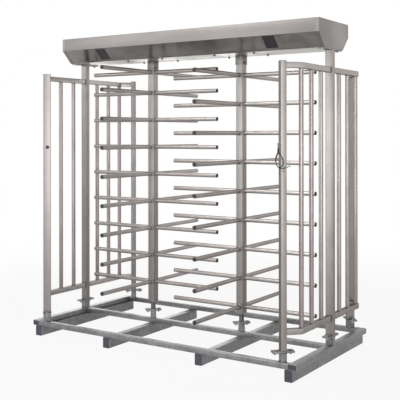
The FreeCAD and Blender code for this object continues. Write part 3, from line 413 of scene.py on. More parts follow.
# Gathers lofted rings into one mesh, with a grain map: round the ring, then along it.
# A ring is a list of (x, y) with a height, or with a function that gives the height.
class Shell:
    def __init__(self):
        self.points = []
        self.faces = []
        self.grain = []

    def loft(self, rings, place=Matrix(), closed=False):
        count = len(rings[0][0])
        start = len(self.points)
        marks = []
        for ring, height in rings:
            travel = [0.0]
            for index in range(count):
                x0, y0 = ring[index]
                x1, y1 = ring[(index + 1) % count]
                travel.append(travel[-1] + math.hypot(x1 - x0, y1 - y0))
                level = height(x0, y0) if callable(height) else height
                self.points.append(place @ Vector((x0, y0, level)))
            marks.append(travel)
        levels = len(rings)
        for level in range(levels if closed else levels - 1):
            after = (level + 1) % levels
            for index in range(count):
                step = (index + 1) % count
                a, b = start + level * count + index, start + level * count + step
                c, d = start + after * count + step, start + after * count + index
                self.faces.append((a, b, c, d))
                v0, v1 = self.level(rings, level), self.level(rings, after)
                u0, u1 = marks[level][index], marks[level][index + 1]
                self.grain.append(((u0, v0), (u1, v0), (u1, v1), (u0, v1)))

    def level(self, rings, index):
        height = rings[index][1]
        return height(0, 0) if callable(height) else height

    # A closed body: the walls between its rings, and a face on the first and the last
    def solid(self, rings, place=Matrix()):
        self.loft(rings, place)
        for (ring, height), way in ((rings[0], -1), (rings[-1], 1)):
            start = len(self.points)
            self.points.extend(place @ Vector((x, y, height)) for x, y in ring)
            order = range(start, start + len(ring))[::way]
            self.faces.append(tuple(order))
            self.grain.append(tuple(ring[index - start] for index in order))

    def mesh(self, turnOut=False):
        made = bpy.data.meshes.new("shell")
        made.from_pydata(self.points, [], self.faces)
        layer = made.uv_layers.new(name="grain")
        for corner, spot in enumerate(spot for face in self.grain for spot in face):
            layer.data[corner].uv = spot
        shape = bmesh.new()
        shape.from_mesh(made)
        bmesh.ops.remove_doubles(shape, verts=shape.verts, dist=mergeWithin)
        if turnOut:
            bmesh.ops.recalc_face_normals(shape, faces=shape.faces)
        shape.to_mesh(made)
        shape.free()
        return made


# A finished piece: the nodes that it stands for, its slot, its finish and its body
def putPiece(name, mesh, replaced=(), slot="stainless_tube", finish=None, body="frame"):
    mesh.name = name
    mesh.materials.clear()
    mesh.materials.append(finish or finishes[slot])
    mesh.polygons.foreach_set("use_smooth", [True] * len(mesh.polygons))
    mesh.set_sharp_from_angle(angle=math.radians(sharpFrom))
    piece = addObject(name, mesh)
    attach(piece, body)
    if replaced:
        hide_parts(*replaced)
    return piece


# A hollow bar of rounded section: outer wall, both rims and inner wall. The ends may
# slant, by a rise for each metre along the section's own X.
def addTube(shell, place, size, wall, radius, low, high, slants=(0, 0), rim=0.0007):
    width, depth = size
    outer = roundedRing(width, depth, radius)
    edge = roundedRing(width - 2 * rim, depth - 2 * rim, radius - rim)
    inner = roundedRing(width - 2 * wall, depth - 2 * wall, max(radius - wall, leastRadius))

    def slanted(level, slant):
        return lambda x, y: level + slant * x

    first, last = slants
    rows = ((edge, low, first), (outer, low + rim, first), (outer, high - rim, last),
            (edge, high, last), (inner, high, last), (inner, low, first))
    shell.loft([(ring, slanted(level, slant)) for ring, level, slant in rows], place,
               closed=True)


def standing(x, y, z=0.0, turn=0.0):
    return Matrix.Translation((x, y, z)) @ rotation(turn, "Z")


def alongX(y, z):
    return Matrix.Translation((0, y, z)) @ rotation(90, "Y")


def alongY(x, z):
    return Matrix.Translation((x, 0, z)) @ rotation(-90, "X")


# A place whose own Z runs ahead and whose own X points outward
def axesMatrix(outward, ahead, start):
    across = ahead.cross(outward)
    turn = Matrix((outward, across, ahead)).transposed().to_4x4()
    return Matrix.Translation(start) @ turn


# A copy of a node whose loose triangles are merged and whose edges are rounded
def softened(node, width, angle=30):
    shape = bmesh.new()
    shape.from_mesh(nodes[node].data)
    bmesh.ops.remove_doubles(shape, verts=shape.verts, dist=mergeWithin)
    bmesh.ops.dissolve_limit(shape, angle_limit=math.radians(1), verts=shape.verts,
                             edges=shape.edges)
    edges = [edge for edge in shape.edges
             if len(edge.link_faces) == 2 and edge.calc_face_angle() > math.radians(angle)]
    bmesh.ops.bevel(shape, geom=edges, offset=width, segments=2, profile=0.5,
                    affect="EDGES", clamp_overlap=True)
    made = bpy.data.meshes.new(node)
    shape.to_mesh(made)
    shape.free()
    layer = made.uv_layers.new(name="grain")
    for loop in made.loops:
        point = made.vertices[loop.vertex_index].co
        layer.data[loop.index].uv = (point.x + point.y, point.z)
    return made


# Placing repeated pieces
# Each tree below takes a carrier mesh, and ends in real faces with the chosen finish.

# Starts a tree with its named inputs
def startTree(name, inputs):
    tree = bpy.data.node_groups.new(name, "GeometryNodeTree")
    side = tree.interface
    side.new_socket("Geometry", in_out="INPUT", socket_type="NodeSocketGeometry")
    for label, kind in inputs:
        side.new_socket(label, in_out="INPUT", socket_type=f"NodeSocket{kind}")
    side.new_socket("Geometry", in_out="OUTPUT", socket_type="NodeSocketGeometry")
    graph = Graph(tree)
    return graph, graph.node("NodeGroupInput")


# Ends a tree, whose copies become real faces here
def endTree(graph, entry, geometry):
    solid = graph.node("GeometryNodeRealizeInstances", {"Geometry": geometry})
    inputs = {"Geometry": solid.out(), "Material": entry.out("Finish")}
    painted = graph.node("GeometryNodeSetMaterial", inputs)
    graph.node("NodeGroupOutput", {"Geometry": painted.out()})
    return graph.tree


# Copies of the unit piece on points, each with its turn
def placed(graph, entry, points, turn):
    unit = graph.node("GeometryNodeObjectInfo", {"Object": entry.out("Unit")})
    inputs = {"Points": points, "Instance": unit.out("Geometry"), "Rotation": turn}
    return graph.node("GeometryNodeInstanceOnPoints", inputs).out()


# Points of a mesh carry a turn about each axis, and each gets a copy of the unit piece
def placingTree():
    graph, entry = startTree("placeCopies", (("Unit", "Object"), ("Finish", "Material")))
    turn = graph.node("GeometryNodeInputNamedAttribute", {"Name": "turn"},
                      data_type="FLOAT_VECTOR").out("Attribute")
    return endTree(graph, entry, placed(graph, entry, entry.out("Geometry"), turn))


# Levels of arms round a column: the tree works out each level's height and each turn
def levelsTree():
    graph, entry = startTree("armLevels", (
        ("Unit", "Object"), ("Finish", "Material"), ("Centre X", "Float"),
        ("First Height", "Float"), ("Pitch", "Float"), ("Levels", "Int"), ("Arms", "Int"),
    ))
    arms = entry.out("Arms")
    index = graph.node("GeometryNodeInputIndex").out()
    height = entry.out("First Height") + (index / arms).floor() * entry.out("Pitch")
    spot = graph.node("ShaderNodeCombineXYZ", {"X": entry.out("Centre X"), "Z": height})
    inputs = {"Count": entry.out("Levels") * arms, "Position": spot.out()}
    cloud = graph.node("GeometryNodePoints", inputs)
    step = index.modulo(arms) / arms
    turn = graph.node("ShaderNodeCombineXYZ", {"Z": step * (2 * math.pi)})
    both = graph.node("GeometryNodeJoinGeometry")
    for part in (placed(graph, entry, cloud.out(), turn.out()), entry.out("Geometry")):
        graph.tree.links.new(part.socket, both.node.inputs[0])
    return endTree(graph, entry, both.out())


weldDrop = Values(
    segments=8,
    rings=5,
    least=(0.8, 0.8, 0.3),
    most=(1.15, 1.15, 0.5),
)


# A bead of weld metal: flat drops laid one over the next along a line
def beadTree(d):
    graph, entry = startTree("weldBeads", (
        ("Step", "Float"), ("Radius", "Float"), ("Seed", "Int"), ("Finish", "Material"),
    ))
    line = graph.node("GeometryNodeMeshToCurve", {"Mesh": entry.out("Geometry")})
    inputs = {"Curve": line.out(), "Length": entry.out("Step")}
    spots = graph.node("GeometryNodeCurveToPoints", inputs, mode="LENGTH")
    drop = graph.node("GeometryNodeMeshUVSphere", {
        "Segments": d.segments, "Rings": d.rings, "Radius": entry.out("Radius"),
    })
    inputs = {0: d.least, 1: d.most, "Seed": entry.out("Seed")}
    size = graph.node("FunctionNodeRandomValue", inputs, data_type="FLOAT_VECTOR")
    drops = graph.node("GeometryNodeInstanceOnPoints", {
        "Points": spots.out("Points"), "Instance": drop.out("Mesh"),
        "Rotation": spots.out("Rotation"), "Scale": size.out(),
    })
    return endTree(graph, entry, drops.out())


trees = {"copies": placingTree(), "levels": levelsTree(), "beads": beadTree(weldDrop)}


# Runs a tree on a carrier mesh and gives back the result as a plain mesh
def grown(tree, carrier, values):
    holder = addObject("carrier", carrier)
    modifier = holder.modifiers.new("grow", "NODES")
    modifier.node_group = trees[tree]
    for item in trees[tree].interface.items_tree:
        if item.in_out == "INPUT" and item.name in values:
            modifier[item.identifier] = values[item.name]
    view = bpy.context.evaluated_depsgraph_get()
    view.update()
    mesh = bpy.data.meshes.new_from_object(holder.evaluated_get(view))
    bpy.data.objects.remove(holder)
    return mesh


# Points with a turn about each axis, as a mesh that the placing tree reads
def spotMesh(spots):
    mesh = bpy.data.meshes.new("spots")
    mesh.from_pydata([place for place, _ in spots], [], [])
    turns = mesh.attributes.new("turn", "FLOAT_VECTOR", "POINT")
    for index, (_, turn) in enumerate(spots):
        turns.data[index].vector = turn
    return mesh


def lineMesh(lines):
    mesh = bpy.data.meshes.new("lines")
    points = [point for line in lines for point in line]
    edges = []
    start = 0
    for line in lines:
        edges += [(start + step, start + step + 1) for step in range(len(line) - 1)]
        start += len(line)
    mesh.from_pydata(points, edges, [])
    return mesh


def copies(unitMesh, spots, slot):
    unit = addObject("unit", unitMesh)
    made = grown("copies", spotMesh(spots), {"Unit": unit, "Finish": finishes[slot]})
    bpy.data.objects.remove(unit)
    return made


def beads(lines, radius, step, slot, seed=3):
    values = {"Step": step, "Radius": radius, "Seed": seed, "Finish": finishes[slot]}
    return grown("beads", lineMesh(lines), values)


# Skid
skid = Values(
    halfDepth=0.583,
    runnerX=(-1.14, -0.425, 0.425, 1.14),
    runner=(0.060, 0.080),
    endTube=(0.064, 0.040),
    endX=1.168,
    railSide=0.040,
    railY=(-0.563, 0.0, 0.563),
    railHalf=1.136,
    deckMiddle=0.100,
    wall=0.003,
    corner=0.006,
)
skidWelds = Values(
    low=0.0805,  # on the runners' tops
    high=0.1195,  # along the deck's top
    inset=0.001,
    shortOfEnd=0.003,
    shortOfTop=0.002,
    shortOfSide=0.004,
    overRunner=0.024,
    radius=0.0032,
    step=0.0028,
)


def makeSkid(s):
    half, deck = s.halfDepth, s.deckMiddle
    runners = [alongY(x, s.runner[1] / 2) for x in s.runnerX]
    endTubes = [alongY(x, deck) for x in (-s.endX, s.endX)]
    rails = [alongX(y, deck) for y in s.railY]
    for name, node, places, section, reach in (
            ("skidRunners", "base_runners", runners, s.runner, half),
            ("skidEndTubes", "base_end_tubes", endTubes, s.endTube, half),
            ("skidRails", "base_rails", rails, (s.railSide,) * 2, s.railHalf)):
        shell = Shell()
        for place in places:
            addTube(shell, place, section, s.wall, s.corner, -reach, reach)
        putPiece(name, shell.mesh(), [node], "base_steel")


# Lines round the rails' ends, and where the rails cross the two middle runners
def makeSkidWelds(s, w):
    lines = []
    halfRail = s.railSide / 2
    for endX in (-s.railHalf, s.railHalf):
        x = endX + math.copysign(w.inset, -endX)
        for y in s.railY:
            half = halfRail - w.shortOfEnd
            lines.append([(x, y - half, w.high), (x, y + half, w.high)])
            for side in (-1, 1):
                face = y + side * halfRail
                if abs(face) < s.halfDepth - w.shortOfEnd:
                    lines.append([(x, face, w.low + w.shortOfTop),
                                  (x, face, w.high - w.shortOfTop)])
    for x in s.runnerX[1:3]:
        for side in (-1, 1):
            edge = x + side * (s.runner[0] / 2 - w.shortOfTop)
            for y in s.railY:
                half = halfRail - w.shortOfSide
                face = y + side * halfRail
                lines.append([(edge, y - half, w.low), (edge, y + half, w.low)])
                lines.append([(x - w.overRunner, face, w.low),
                              (x + w.overRunner, face, w.low)])
    putPiece("skidWelds", beads(lines, w.radius, w.step, "base_steel"), (), "base_steel")


tubePlugs = Values(lip=0.0005, face=0.0016, neck=0.012, inset=0.004, soft=0.0005)


# Plastic plugs: over the runners' ends, and a little inside the end tubes
def makeTubePlugs(s, p):
    shell = Shell()
    for side in (-1, 1):
        turn = rotation(-90 * side, "X")
        for x in s.runnerX:
            width, height = s.runner
            place = Matrix.Translation((x, side * s.halfDepth, height / 2)) @ turn
            cover = roundedRing(width - 2 * p.lip, height - 2 * p.lip, s.corner)
            edge = roundedRing(width - 4 * p.lip, height - 4 * p.lip, s.corner)
            shell.solid([(cover, 0), (cover, p.face - p.soft), (edge, p.face)], place)
        for x in (-s.endX, s.endX):
            width, height = (size - 2 * s.wall for size in s.endTube)
            place = Matrix.Translation((x, side * s.halfDepth, s.deckMiddle)) @ turn
            neck = roundedRing(width, height, s.corner - s.wall)
            shell.solid([(neck, -p.neck), (neck, -p.inset)], place)
    putPiece("tubeEndPlugs", shell.mesh(turnOut=True), (), "cap_plastic", bluePlugs)


makeSkid(skid)
makeSkidWelds(skid, skidWelds)
makeTubePlugs(skid, tubePlugs)
print("skid made")

# Bolted feet
feet = Values(
    corner=(1.08, 0.5475),
    mid=1.168,
    rotor=0.425,
    deckTop=0.120,
    stubTop=0.180,
    plateTop=0.192,
    plateEdge=0.0009,
    section=(0.040, 0.060),
    wall=0.003,
    radius=0.004,
    longBolt=0.055,  # from a foot's middle to its bolts
    shortBolt=0.043,
    boltTwist=0.37,  # no two heads stand at the same angle
)
cornerX, cornerY = feet.corner
postPlaces = [
    (-cornerX, -cornerY, -45), (cornerX, -cornerY, 45), (-cornerX, cornerY, 45),
    (cornerX, cornerY, -45), (-feet.mid, 0, 90), (feet.mid, 0, 90),
]
rotorPlaces = [(-feet.rotor, 0, 45), (feet.rotor, 0, 45)]
footPlaces = postPlaces + rotorPlaces

# Radii of a foot's bolt, and the heights of its parts over the plates' top
footBolt = Values(
    hexagon=0.011,
    washer=0.0115,
    shank=0.006,
    headEnds=(0.0012, 0.0075),
    upperWasher=(0.0, 0.0013),
    shankEnds=(-0.027, 0.0005),
    nutEnds=(-0.022, -0.0132),
    lowerWasher=(-0.0133, -0.012),
)
footWelds = Values(
    reach=1.1966,  # no weld stands past the ends of the skid
    outside=0.0015,
    rise=0.0008,
    radius=0.003,
    step=0.0028,
)


# A hexagon whose corners are turned off towards its upper end, or towards both
def chamferedHexagon(shell, radius, low, high, both=False):
    count = 18
    turns = [2 * math.pi * step / count for step in range(count)]
    toFlat = radius * math.cos(math.pi / 6)
    turnedTo = toFlat * 0.98

    def outline(limit):
        ring = []
        for turn in turns:
            size = min(toFlat / math.cos(turn % (math.pi / 3) - math.pi / 6), limit)
            ring.append((size * math.cos(turn), size * math.sin(turn)))
        return ring

    full, turned = outline(math.inf), outline(turnedTo)

    def drop(x, y):
        return (math.hypot(x, y) - turnedTo) * 0.5

    rings = [(turned, low), (full, lambda x, y: low + drop(x, y))] if both else [(full, low)]
    rings += [(full, lambda x, y: high - drop(x, y)), (turned, high)]
    shell.solid(rings)


def disc(shell, radius, low, high, count=24, soft=0.0004):
    inner = circleRing(radius - soft, count)
    outer = circleRing(radius, count)
    shell.solid([(inner, low), (outer, low + soft), (outer, high - soft), (inner, high)])


def footBoltUnit(b):
    unit = Shell()
    chamferedHexagon(unit, b.hexagon, *b.headEnds)
    disc(unit, b.washer, *b.upperWasher)
    disc(unit, b.shank, *b.shankEnds, count=12)
    chamferedHexagon(unit, b.hexagon, *b.nutEnds, both=True)
    disc(unit, b.washer, *b.lowerWasher)
    return unit.mesh()


def makeFeet(f):
    shell = Shell()
    for x, y, turn in footPlaces:
        addTube(shell, standing(x, y, 0, turn), f.section, f.wall, f.radius,
                f.deckTop, f.stubTop)
    putPiece("footStubs", shell.mesh(), ["foot_stubs"], "base_steel")
    for node, slot in (("lower_foot_plates", "base_steel"),
                       ("upper_foot_plates", "stainless_tube")):
        putPiece(node + "_soft", softened(node, f.plateEdge), [node], slot)
    nodes["foot_spindles"].data.materials[0] = shadedSpindle
    spots = []
    for x, y, turn in footPlaces:
        angle = math.radians(turn)
        reach = f.longBolt if (x, y, turn) in postPlaces else f.shortBolt
        for along in (-reach, reach):
            spot = (x + along * math.cos(angle), y + along * math.sin(angle), f.plateTop)
            spots.append((spot, (0, 0, angle + f.boltTwist * len(spots))))
    mesh = copies(footBoltUnit(footBolt), spots, "fastener_steel")
    putPiece("footFasteners", mesh, ["foot_bolts_and_nuts"], "fastener_steel")


# Lines of weld round the stubs and round the posts
def makeFootWelds(f, w):
    ring = roundedRing(*(side + w.outside for side in f.section), f.radius, 2)
    ring.append(ring[0])
    stubHeights = (f.deckTop + w.rise, f.stubTop - w.rise)
    for name, places, heights, slot in (
            ("stubWelds", footPlaces, stubHeights, "base_steel"),
            ("postFootWelds", postPlaces, (f.plateTop + w.rise,), "stainless_tube")):
        lines = []
        for x, y, turn in places:
            for height in heights:
                line = [standing(x, y, height, turn) @ Vector((*spot, 0)) for spot in ring]
                for point in line:
                    point.x = max(-w.reach, min(w.reach, point.x))
                lines.append(line)
        putPiece(name, beads(lines, w.radius, w.step, slot), (), slot)


makeFeet(feet)
makeFootWelds(feet, footWelds)
print("feet made")

# Posts and fences
posts = Values(
    footTop=0.192,
    cornerTop=2.108,
    midTop=2.222,
    section=(0.040, 0.060),
    wall=0.003,
    radius=0.0045,
    lidHeight=0.003,
    lidEdge=0.0009,
    topPlateEdge=0.001,
)
fence = Values(
    planeX=1.168,
    bendY=0.4595,
    side=0.040,
    midHalf=0.020,  # the rails start on the mid posts
    wall=0.002,
    radius=0.004,
    levels=(0.315, 2.081),
    barRadius=0.016,
    bars=(0.15, 0.3, 0.45),
    barLow=0.335,
    barHigh=2.061,
    weldOutside=0.0004,
    weldRise=0.0006,
    weldRadius=0.0021,
    weldStep=0.0022,
)


def makePosts(p):
    def putPost(name, place, top, finish=None):
        shell = Shell()
        addTube(shell, place, p.section, p.wall, p.radius, p.footTop, top)
        putPiece(name + "_post_tube", shell.mesh(), [name + "_post"], finish=finish)

    places = [standing(x, y, 0, turn) for x, y, turn in postPlaces]
    names = ("corner_front_left", "corner_front_right", "corner_back_left", "corner_back_right")
    high, soft = p.cornerTop + p.lidHeight, p.lidEdge
    outer = roundedRing(*p.section, p.radius)
    edge = roundedRing(*(side - 2 * soft for side in p.section), p.radius - soft)
    caps = Shell()
    for name, place in zip(names, places):
        putPost(name, place, p.cornerTop)
        caps.solid([(outer, p.cornerTop), (outer, high - soft), (edge, high)], place)
    putPiece("cornerPostLids", caps.mesh(), ["corner_post_caps"])
    # The left mid post takes the columns' darker copy: painted shade
    putPost("mid_left", places[4], p.midTop, shadedColumns)
    putPost("mid_right", places[5], p.midTop)
    plates = softened("mid_post_top_plates", p.topPlateEdge)
    putPiece("topPlates", plates, ["mid_post_top_plates"])


def makeFence(f):
    straight = Shell()
    angled = Shell()
    mitre = math.tan(math.radians(22.5))
    section = (f.side, f.side)
    postHalf = f.side / 2 / math.sqrt(2)
    run = math.hypot(f.planeX - (cornerX + postHalf), cornerY - postHalf - f.bendY)
    quarters = [(sideX, sideY) for sideX in (-1, 1) for sideY in (-1, 1)]
    for height in f.levels:
        for sideX, sideY in quarters:
            # The section's own X points away from the object's middle line
            place = axesMatrix(Vector((sideX, 0, 0)), Vector((0, sideY, 0)),
                               (sideX * f.planeX, 0, height))
            addTube(straight, place, section, f.wall, f.radius, f.midHalf,
                    f.bendY, (0, mitre))
            place = axesMatrix(Vector((sideX, sideY, 0)).normalized(),
                               Vector((-sideX, sideY, 0)).normalized(),
                               (sideX * f.planeX, sideY * f.bendY, height))
            addTube(angled, place, section, f.wall, f.radius, 0.0, run, (-mitre, 0))
    putPiece("fenceStraightRails", straight.mesh(), ["fence_straight_rails"],
             finish=brightRails)
    putPiece("fenceAngledRails", angled.mesh(), ["fence_angled_rails"], finish=brightRails)
    unit = Shell()
    ring = circleRing(f.barRadius)
    low, high = f.barLow, f.barHigh
    unit.solid([(ring, low), (ring, high)])
    spots = [((sideX * f.planeX, sideY * y, 0), (0, 0, 0))
             for sideX, sideY in quarters for y in f.bars]
    mesh = copies(unit.mesh(), spots, "stainless_tube")
    putPiece("fenceBarTubes", mesh, ["fence_bars"], finish=warmBars)
    lines = []
    collar = circleRing(f.barRadius + f.weldOutside, 24)
    collar.append(collar[0])
    for (x, y, _), _ in spots:
        for height in (low + f.weldRise, high - f.weldRise):
            lines.append([(x + px, y + py, height) for px, py in collar])
    putPiece("fenceWelds", beads(lines, f.weldRadius, f.weldStep, "stainless_tube"))


# Rows of the light are radii and heights over the post's face
statusLight = Values(
    height=1.521,
    face=0.020,
    across=0.004,
    sides=32,
    bezel=((0.0140, 0.0), (0.0140, 0.0019), (0.0134, 0.0025), (0.0090, 0.0025),
              (0.0084, 0.0008), (0.0084, 0.0)),
    lens=((0.0083, 0.0003), (0.0083, 0.0010), (0.0074, 0.0020), (0.0050, 0.0028),
             (0.0018, 0.0032)),
)


# A red lens in a dark bezel, on the front left post
def makeStatusLight(s):
    corner = standing(-cornerX, -cornerY, s.height, -45)
    place = corner @ Matrix.Translation((s.face, s.across, 0)) @ alongX(0, 0)
    bezel = Shell()
    rings = [(circleRing(radius, s.sides), rise) for radius, rise in s.bezel]
    bezel.loft(rings, place, closed=True)
    putPiece("statusBezel", bezel.mesh(), ["status_light"], "cap_plastic")
    lens = Shell()
    lens.solid([(circleRing(radius, s.sides), rise) for radius, rise in s.lens], place)
    putPiece("statusLens", lens.mesh(), ["status_light"], "status_lens")


makePosts(posts)
makeFence(fence)
makeStatusLight(statusLight)
print("posts and fences made")


# Canopy
canopy = Values(
    halfLength=1.2,
    halfDepth=0.245,
    halfBottom=0.147,
    bottom=2.230,
    fold=2.330,
    top=2.4262,
    panelEdge=0.0014,
    lidEdge=0.0008,
    trayEdge=0.0005,
    endEdge=0.0006,
    screwEdge=0.0003,
    rimWidth=0.027,
    rimSheet=0.0008,
    rimLean=0.7,  # where the lapped sheet turns, as shares of its thickness
    rimFold=0.4,
    screwOut=(-0.6, -0.25, 0.25, 0.6),
    screwAside=0.105,
    screwHead=0.004,
    nutRadius=0.0078,
    nutDepth=0.0062,
    nutTwist=0.4,
)


def makeCanopy(c):
    for node in ("canopy_front_panel", "canopy_back_panel"):
        putPiece(node + "_sheet", softened(node, c.panelEdge, 25), [node], "canopy_sheet")
    for name, node, edge, slot, finish in (
            ("canopyLidSheet", "canopy_lid", c.lidEdge, "canopy_sheet", None),
            ("canopyTraySheet", "canopy_tray", c.trayEdge, "canopy_sheet", paleTray),
            ("canopyEndSheets", "canopy_end_plates", c.endEdge, "canopy_sheet", None),
            ("trayScrewHeads", "tray_screws", c.screwEdge, "fastener_steel", shadedScrews)):
        putPiece(name, softened(node, edge), [node], slot, finish)
    unit = Shell()
    top = c.bottom - c.screwHead
    chamferedHexagon(unit, c.nutRadius, top - c.nutDepth, top, both=True)
    spots = [((x, side * c.screwAside, 0), (0, 0, c.nutTwist * x))
             for x in c.screwOut for side in (-1, 1)]
    mesh = copies(unit.mesh(), spots, "fastener_steel")
    putPiece("trayScrewNuts", mesh, (), "fastener_steel", shadedScrews)


# The end sheets' folded rims, which lap over the front and back panels
def makeEndRims(c):
    shell = Shell()
    lap = c.rimSheet
    lean = lap * c.rimLean
    lay = axesMatrix(Vector((0, 1, 0)), Vector((1, 0, 0)), (0, 0, 0))
    for sideY in (-1, 1):
        ring = [
            (c.halfDepth, c.top), (c.halfDepth + lap, c.top),
            (c.halfDepth + lap, c.fold - lap * c.rimFold),
            (c.halfBottom + lean, c.bottom - lean),
            (c.halfBottom, c.bottom), (c.halfDepth, c.fold),
        ]
        ring = [(sideY * y, z) for y, z in ring]
        for low in (-c.halfLength, c.halfLength - c.rimWidth):
            high = low + c.rimWidth
            shell.solid([(ring, low), (ring, high)], lay)
    putPiece("canopyEndRims", shell.mesh(turnOut=True), (), "canopy_sheet")


makeCanopy(canopy)
makeEndRims(canopy)
print("canopy made")

# Rotors
rotor = Values(
    centreX=0.425,
    columnSide=0.060,
    wall=0.003,
    radius=0.0045,
    low=0.258,
    high=2.200,
    sleeveEdge=0.0008,
    hubSide=0.0538,
    hubCorner=0.0015,
    hubBore=0.0192,
    hubEnds=(0.0002, 0.040),  # over the column's lower end
    arms=4,
    armRadius=0.016,
    armWall=0.002,
    armEnd=0.627,
    reach=0.632,
    pitch=0.2205,
    first={"left": 0.41925, "right": 0.309},
    levels={"left": 8, "right": 9},
    leftTop=2.132,  # the left rotor's ninth level, nearer than a pitch
)

# Radii over the arm's own and places along it
armWeld = ((0.0030, -0.0006), (0.0026, 0.0010), (0.0012, 0.0024), (-0.0004, 0.0032))

# Radii of a plug and places back from the arm's reach
armPlug = ((0.0138, 0.020), (0.0138, 0.005), (0.0160, 0.0049), (0.0160, 0.0022),
           (0.0152, 0.0009), (0.0125, 0.0003), (0.0070, 0.0))


# One arm along +X with a small bead of weld round its root
def armUnit(r):
    shell = Shell()
    lay = alongX(0, 0)
    start = r.columnSide / 2
    ring = circleRing(r.armRadius)
    hollow = circleRing(r.armRadius - r.armWall)
    shell.loft([(ring, start), (ring, r.armEnd), (hollow, r.armEnd), (hollow, start)],
               lay, closed=True)
    shell.loft([(circleRing(r.armRadius + rise), start + run) for rise, run in armWeld], lay)
    return shell.mesh()


# A dark end plug with a soft dome
def plugUnit(r):
    shell = Shell()
    rings = [(circleRing(radius, 24), r.reach - back) for radius, back in armPlug]
    shell.solid(rings, alongX(0, 0))
    return shell.mesh()


# All copies of an arm or a plug on one rotor
def onLevels(side, centre, unitMesh, slot, r):
    unit = addObject("unit", unitMesh)
    own = {"Unit": unit, "Finish": finishes[slot]}
    extra = bpy.data.meshes.new("extra")
    if side == "left":
        quarter = 2 * math.pi / r.arms
        spots = [((centre, 0, r.leftTop), (0, 0, quarter * step)) for step in range(r.arms)]
        extra = grown("copies", spotMesh(spots), own)
    mesh = grown("levels", extra, {
        **own, "Centre X": centre, "First Height": r.first[side], "Pitch": r.pitch,
        "Levels": r.levels[side], "Arms": r.arms,
    })
    bpy.data.objects.remove(unit)
    return mesh


# A square column with the bored hub in its lower end
def columnMesh(centre, r):
    shell = Shell()
    place = standing(centre, 0)
    addTube(shell, place, (r.columnSide,) * 2, r.wall, r.radius, r.low, r.high)
    hub = roundedRing(r.hubSide, r.hubSide, r.hubCorner)
    bore = [tuple(Vector(spot).normalized() * r.hubBore) for spot in hub]
    low, high = (r.low + rise for rise in r.hubEnds)
    shell.loft([(hub, low), (hub, high), (bore, high), (bore, low)], place, closed=True)
    return shell.mesh()


def makeRotors(r):
    for side, centre in (("left", -r.centreX), ("right", r.centreX)):
        tubes = onLevels(side, centre, armUnit(r), "stainless_tube", r)
        plugs = onLevels(side, centre, plugUnit(r), "cap_plastic", r)
        column = columnMesh(centre, r)
        sleeve = softened(f"{side}_rotor_sleeve", r.sleeveEdge)
        for label, mesh, node, slot, finish in (
                ("ArmTubes", tubes, "rotor_arms", "stainless_tube", paleArms),
                ("ArmPlugs", plugs, "arm_caps", "cap_plastic", None),
                ("ColumnTube", column, "rotor_column", "stainless_tube", shadedColumns),
                ("ColumnSleeve", sleeve, "rotor_sleeve", "stainless_tube", canopyShadowSleeves)):
            putPiece(side + label, mesh, [f"{side}_{node}"], slot, finish, f"{side}_rotor")


makeRotors(rotor)
print("rotors made")

# Reader lead, whose route is in millimetres from the mouth of its gland
lead = Values(
    mouth=(1.065858, -0.581441, 1.536),
    turn=-45,
    radius=0.003,
    length=0.461,
    route=(
        (0, 0, 0), (0, 0, -18), (1, -1, -37), (5, -9, -54), (11, -17, -73), (16, -21, -95),
        (20, -18, -116), (23, -6, -131), (25, 11, -133), (26, 24, -121), (27, 28, -101),
        (28, 25, -80), (28, 17, -63), (23, 8, -51), (16, 0, -42), (11, -10, -42),
        (14, -18, -53), (20, -23, -70), (25, -25, -91), (29, -22, -112), (32, -11, -130),
        (33, 7, -141), (32, 28, -139), (30, 46, -132), (28, 62, -127), (26, 76, -123),
    ),
    bootEnd=(0.008, -0.002, -0.044),
    bootRadii=(0.0042, 0.009),
    bootSteps=5,
    sleeveLength=0.042,
    sleeveRadius=0.0034,
    sleevePast=0.0008,  # how far the sleeve stands past the lead's end
)


# The route's points read from its smooth spline, for what sits along the lead
def readRoute(curve):
    plain = curve.copy()
    plain.bevel_depth = 0
    holder = addObject("routeHolder", plain)
    mesh = bpy.data.meshes.new_from_object(holder)
    points = [vertex.co.copy() for vertex in mesh.vertices]
    bpy.data.objects.remove(holder)
    bpy.data.meshes.remove(mesh)
    return points


# Rings round a line of points, as a closed sleeve with rounded rims
def sleeveAlong(points, radius, rim=0.0006):
    shell = Shell()
    last = len(points) - 1
    rows = []
    rings = []
    for index, point in enumerate(points):
        ahead = points[min(index + 1, last)] - points[max(index - 1, 0)]
        turn = ahead.to_track_quat("Z", "Y").to_matrix().to_4x4()
        rows.append(Matrix.Translation(point) @ turn)
        rings.append((circleRing(radius - rim if index in (0, last) else radius, 16), index))
    shell.solid(rings)
    shell.points = [rows[round(spot.z)] @ Vector((*spot.xy, 0)) for spot in shell.points]
    return shell.mesh(turnOut=True)


def leadCurve(points, radius):
    curve = bpy.data.curves.new("readerLead", "CURVE")
    curve.dimensions = "3D"
    curve.bevel_depth = radius
    curve.bevel_resolution = 4
    curve.resolution_u = 8
    curve.use_fill_caps = True
    spline = curve.splines.new("NURBS")
    spline.points.add(len(points) - 1)
    for control, point in zip(spline.points, points):
        control.co = (*point, 1.0)
    spline.order_u = 3
    spline.use_endpoint_u = True
    curve.materials.append(finishes["lead_jacket"])
    return curve


# A cone that leans from the gland's mouth to the top of the loop
def bootMesh(place, s):
    shell = Shell()
    thin, thick = s.bootRadii
    rings = []
    for step in range(s.bootSteps + 1):
        share = step / s.bootSteps
        middle = Vector(s.bootEnd) * share
        ring = circleRing(thin + (thick - thin) * share, 24)
        rings.append(([(x + middle.x, y + middle.y) for x, y in ring], middle.z))
    shell.solid(rings, place)
    return shell.mesh(turnOut=True)


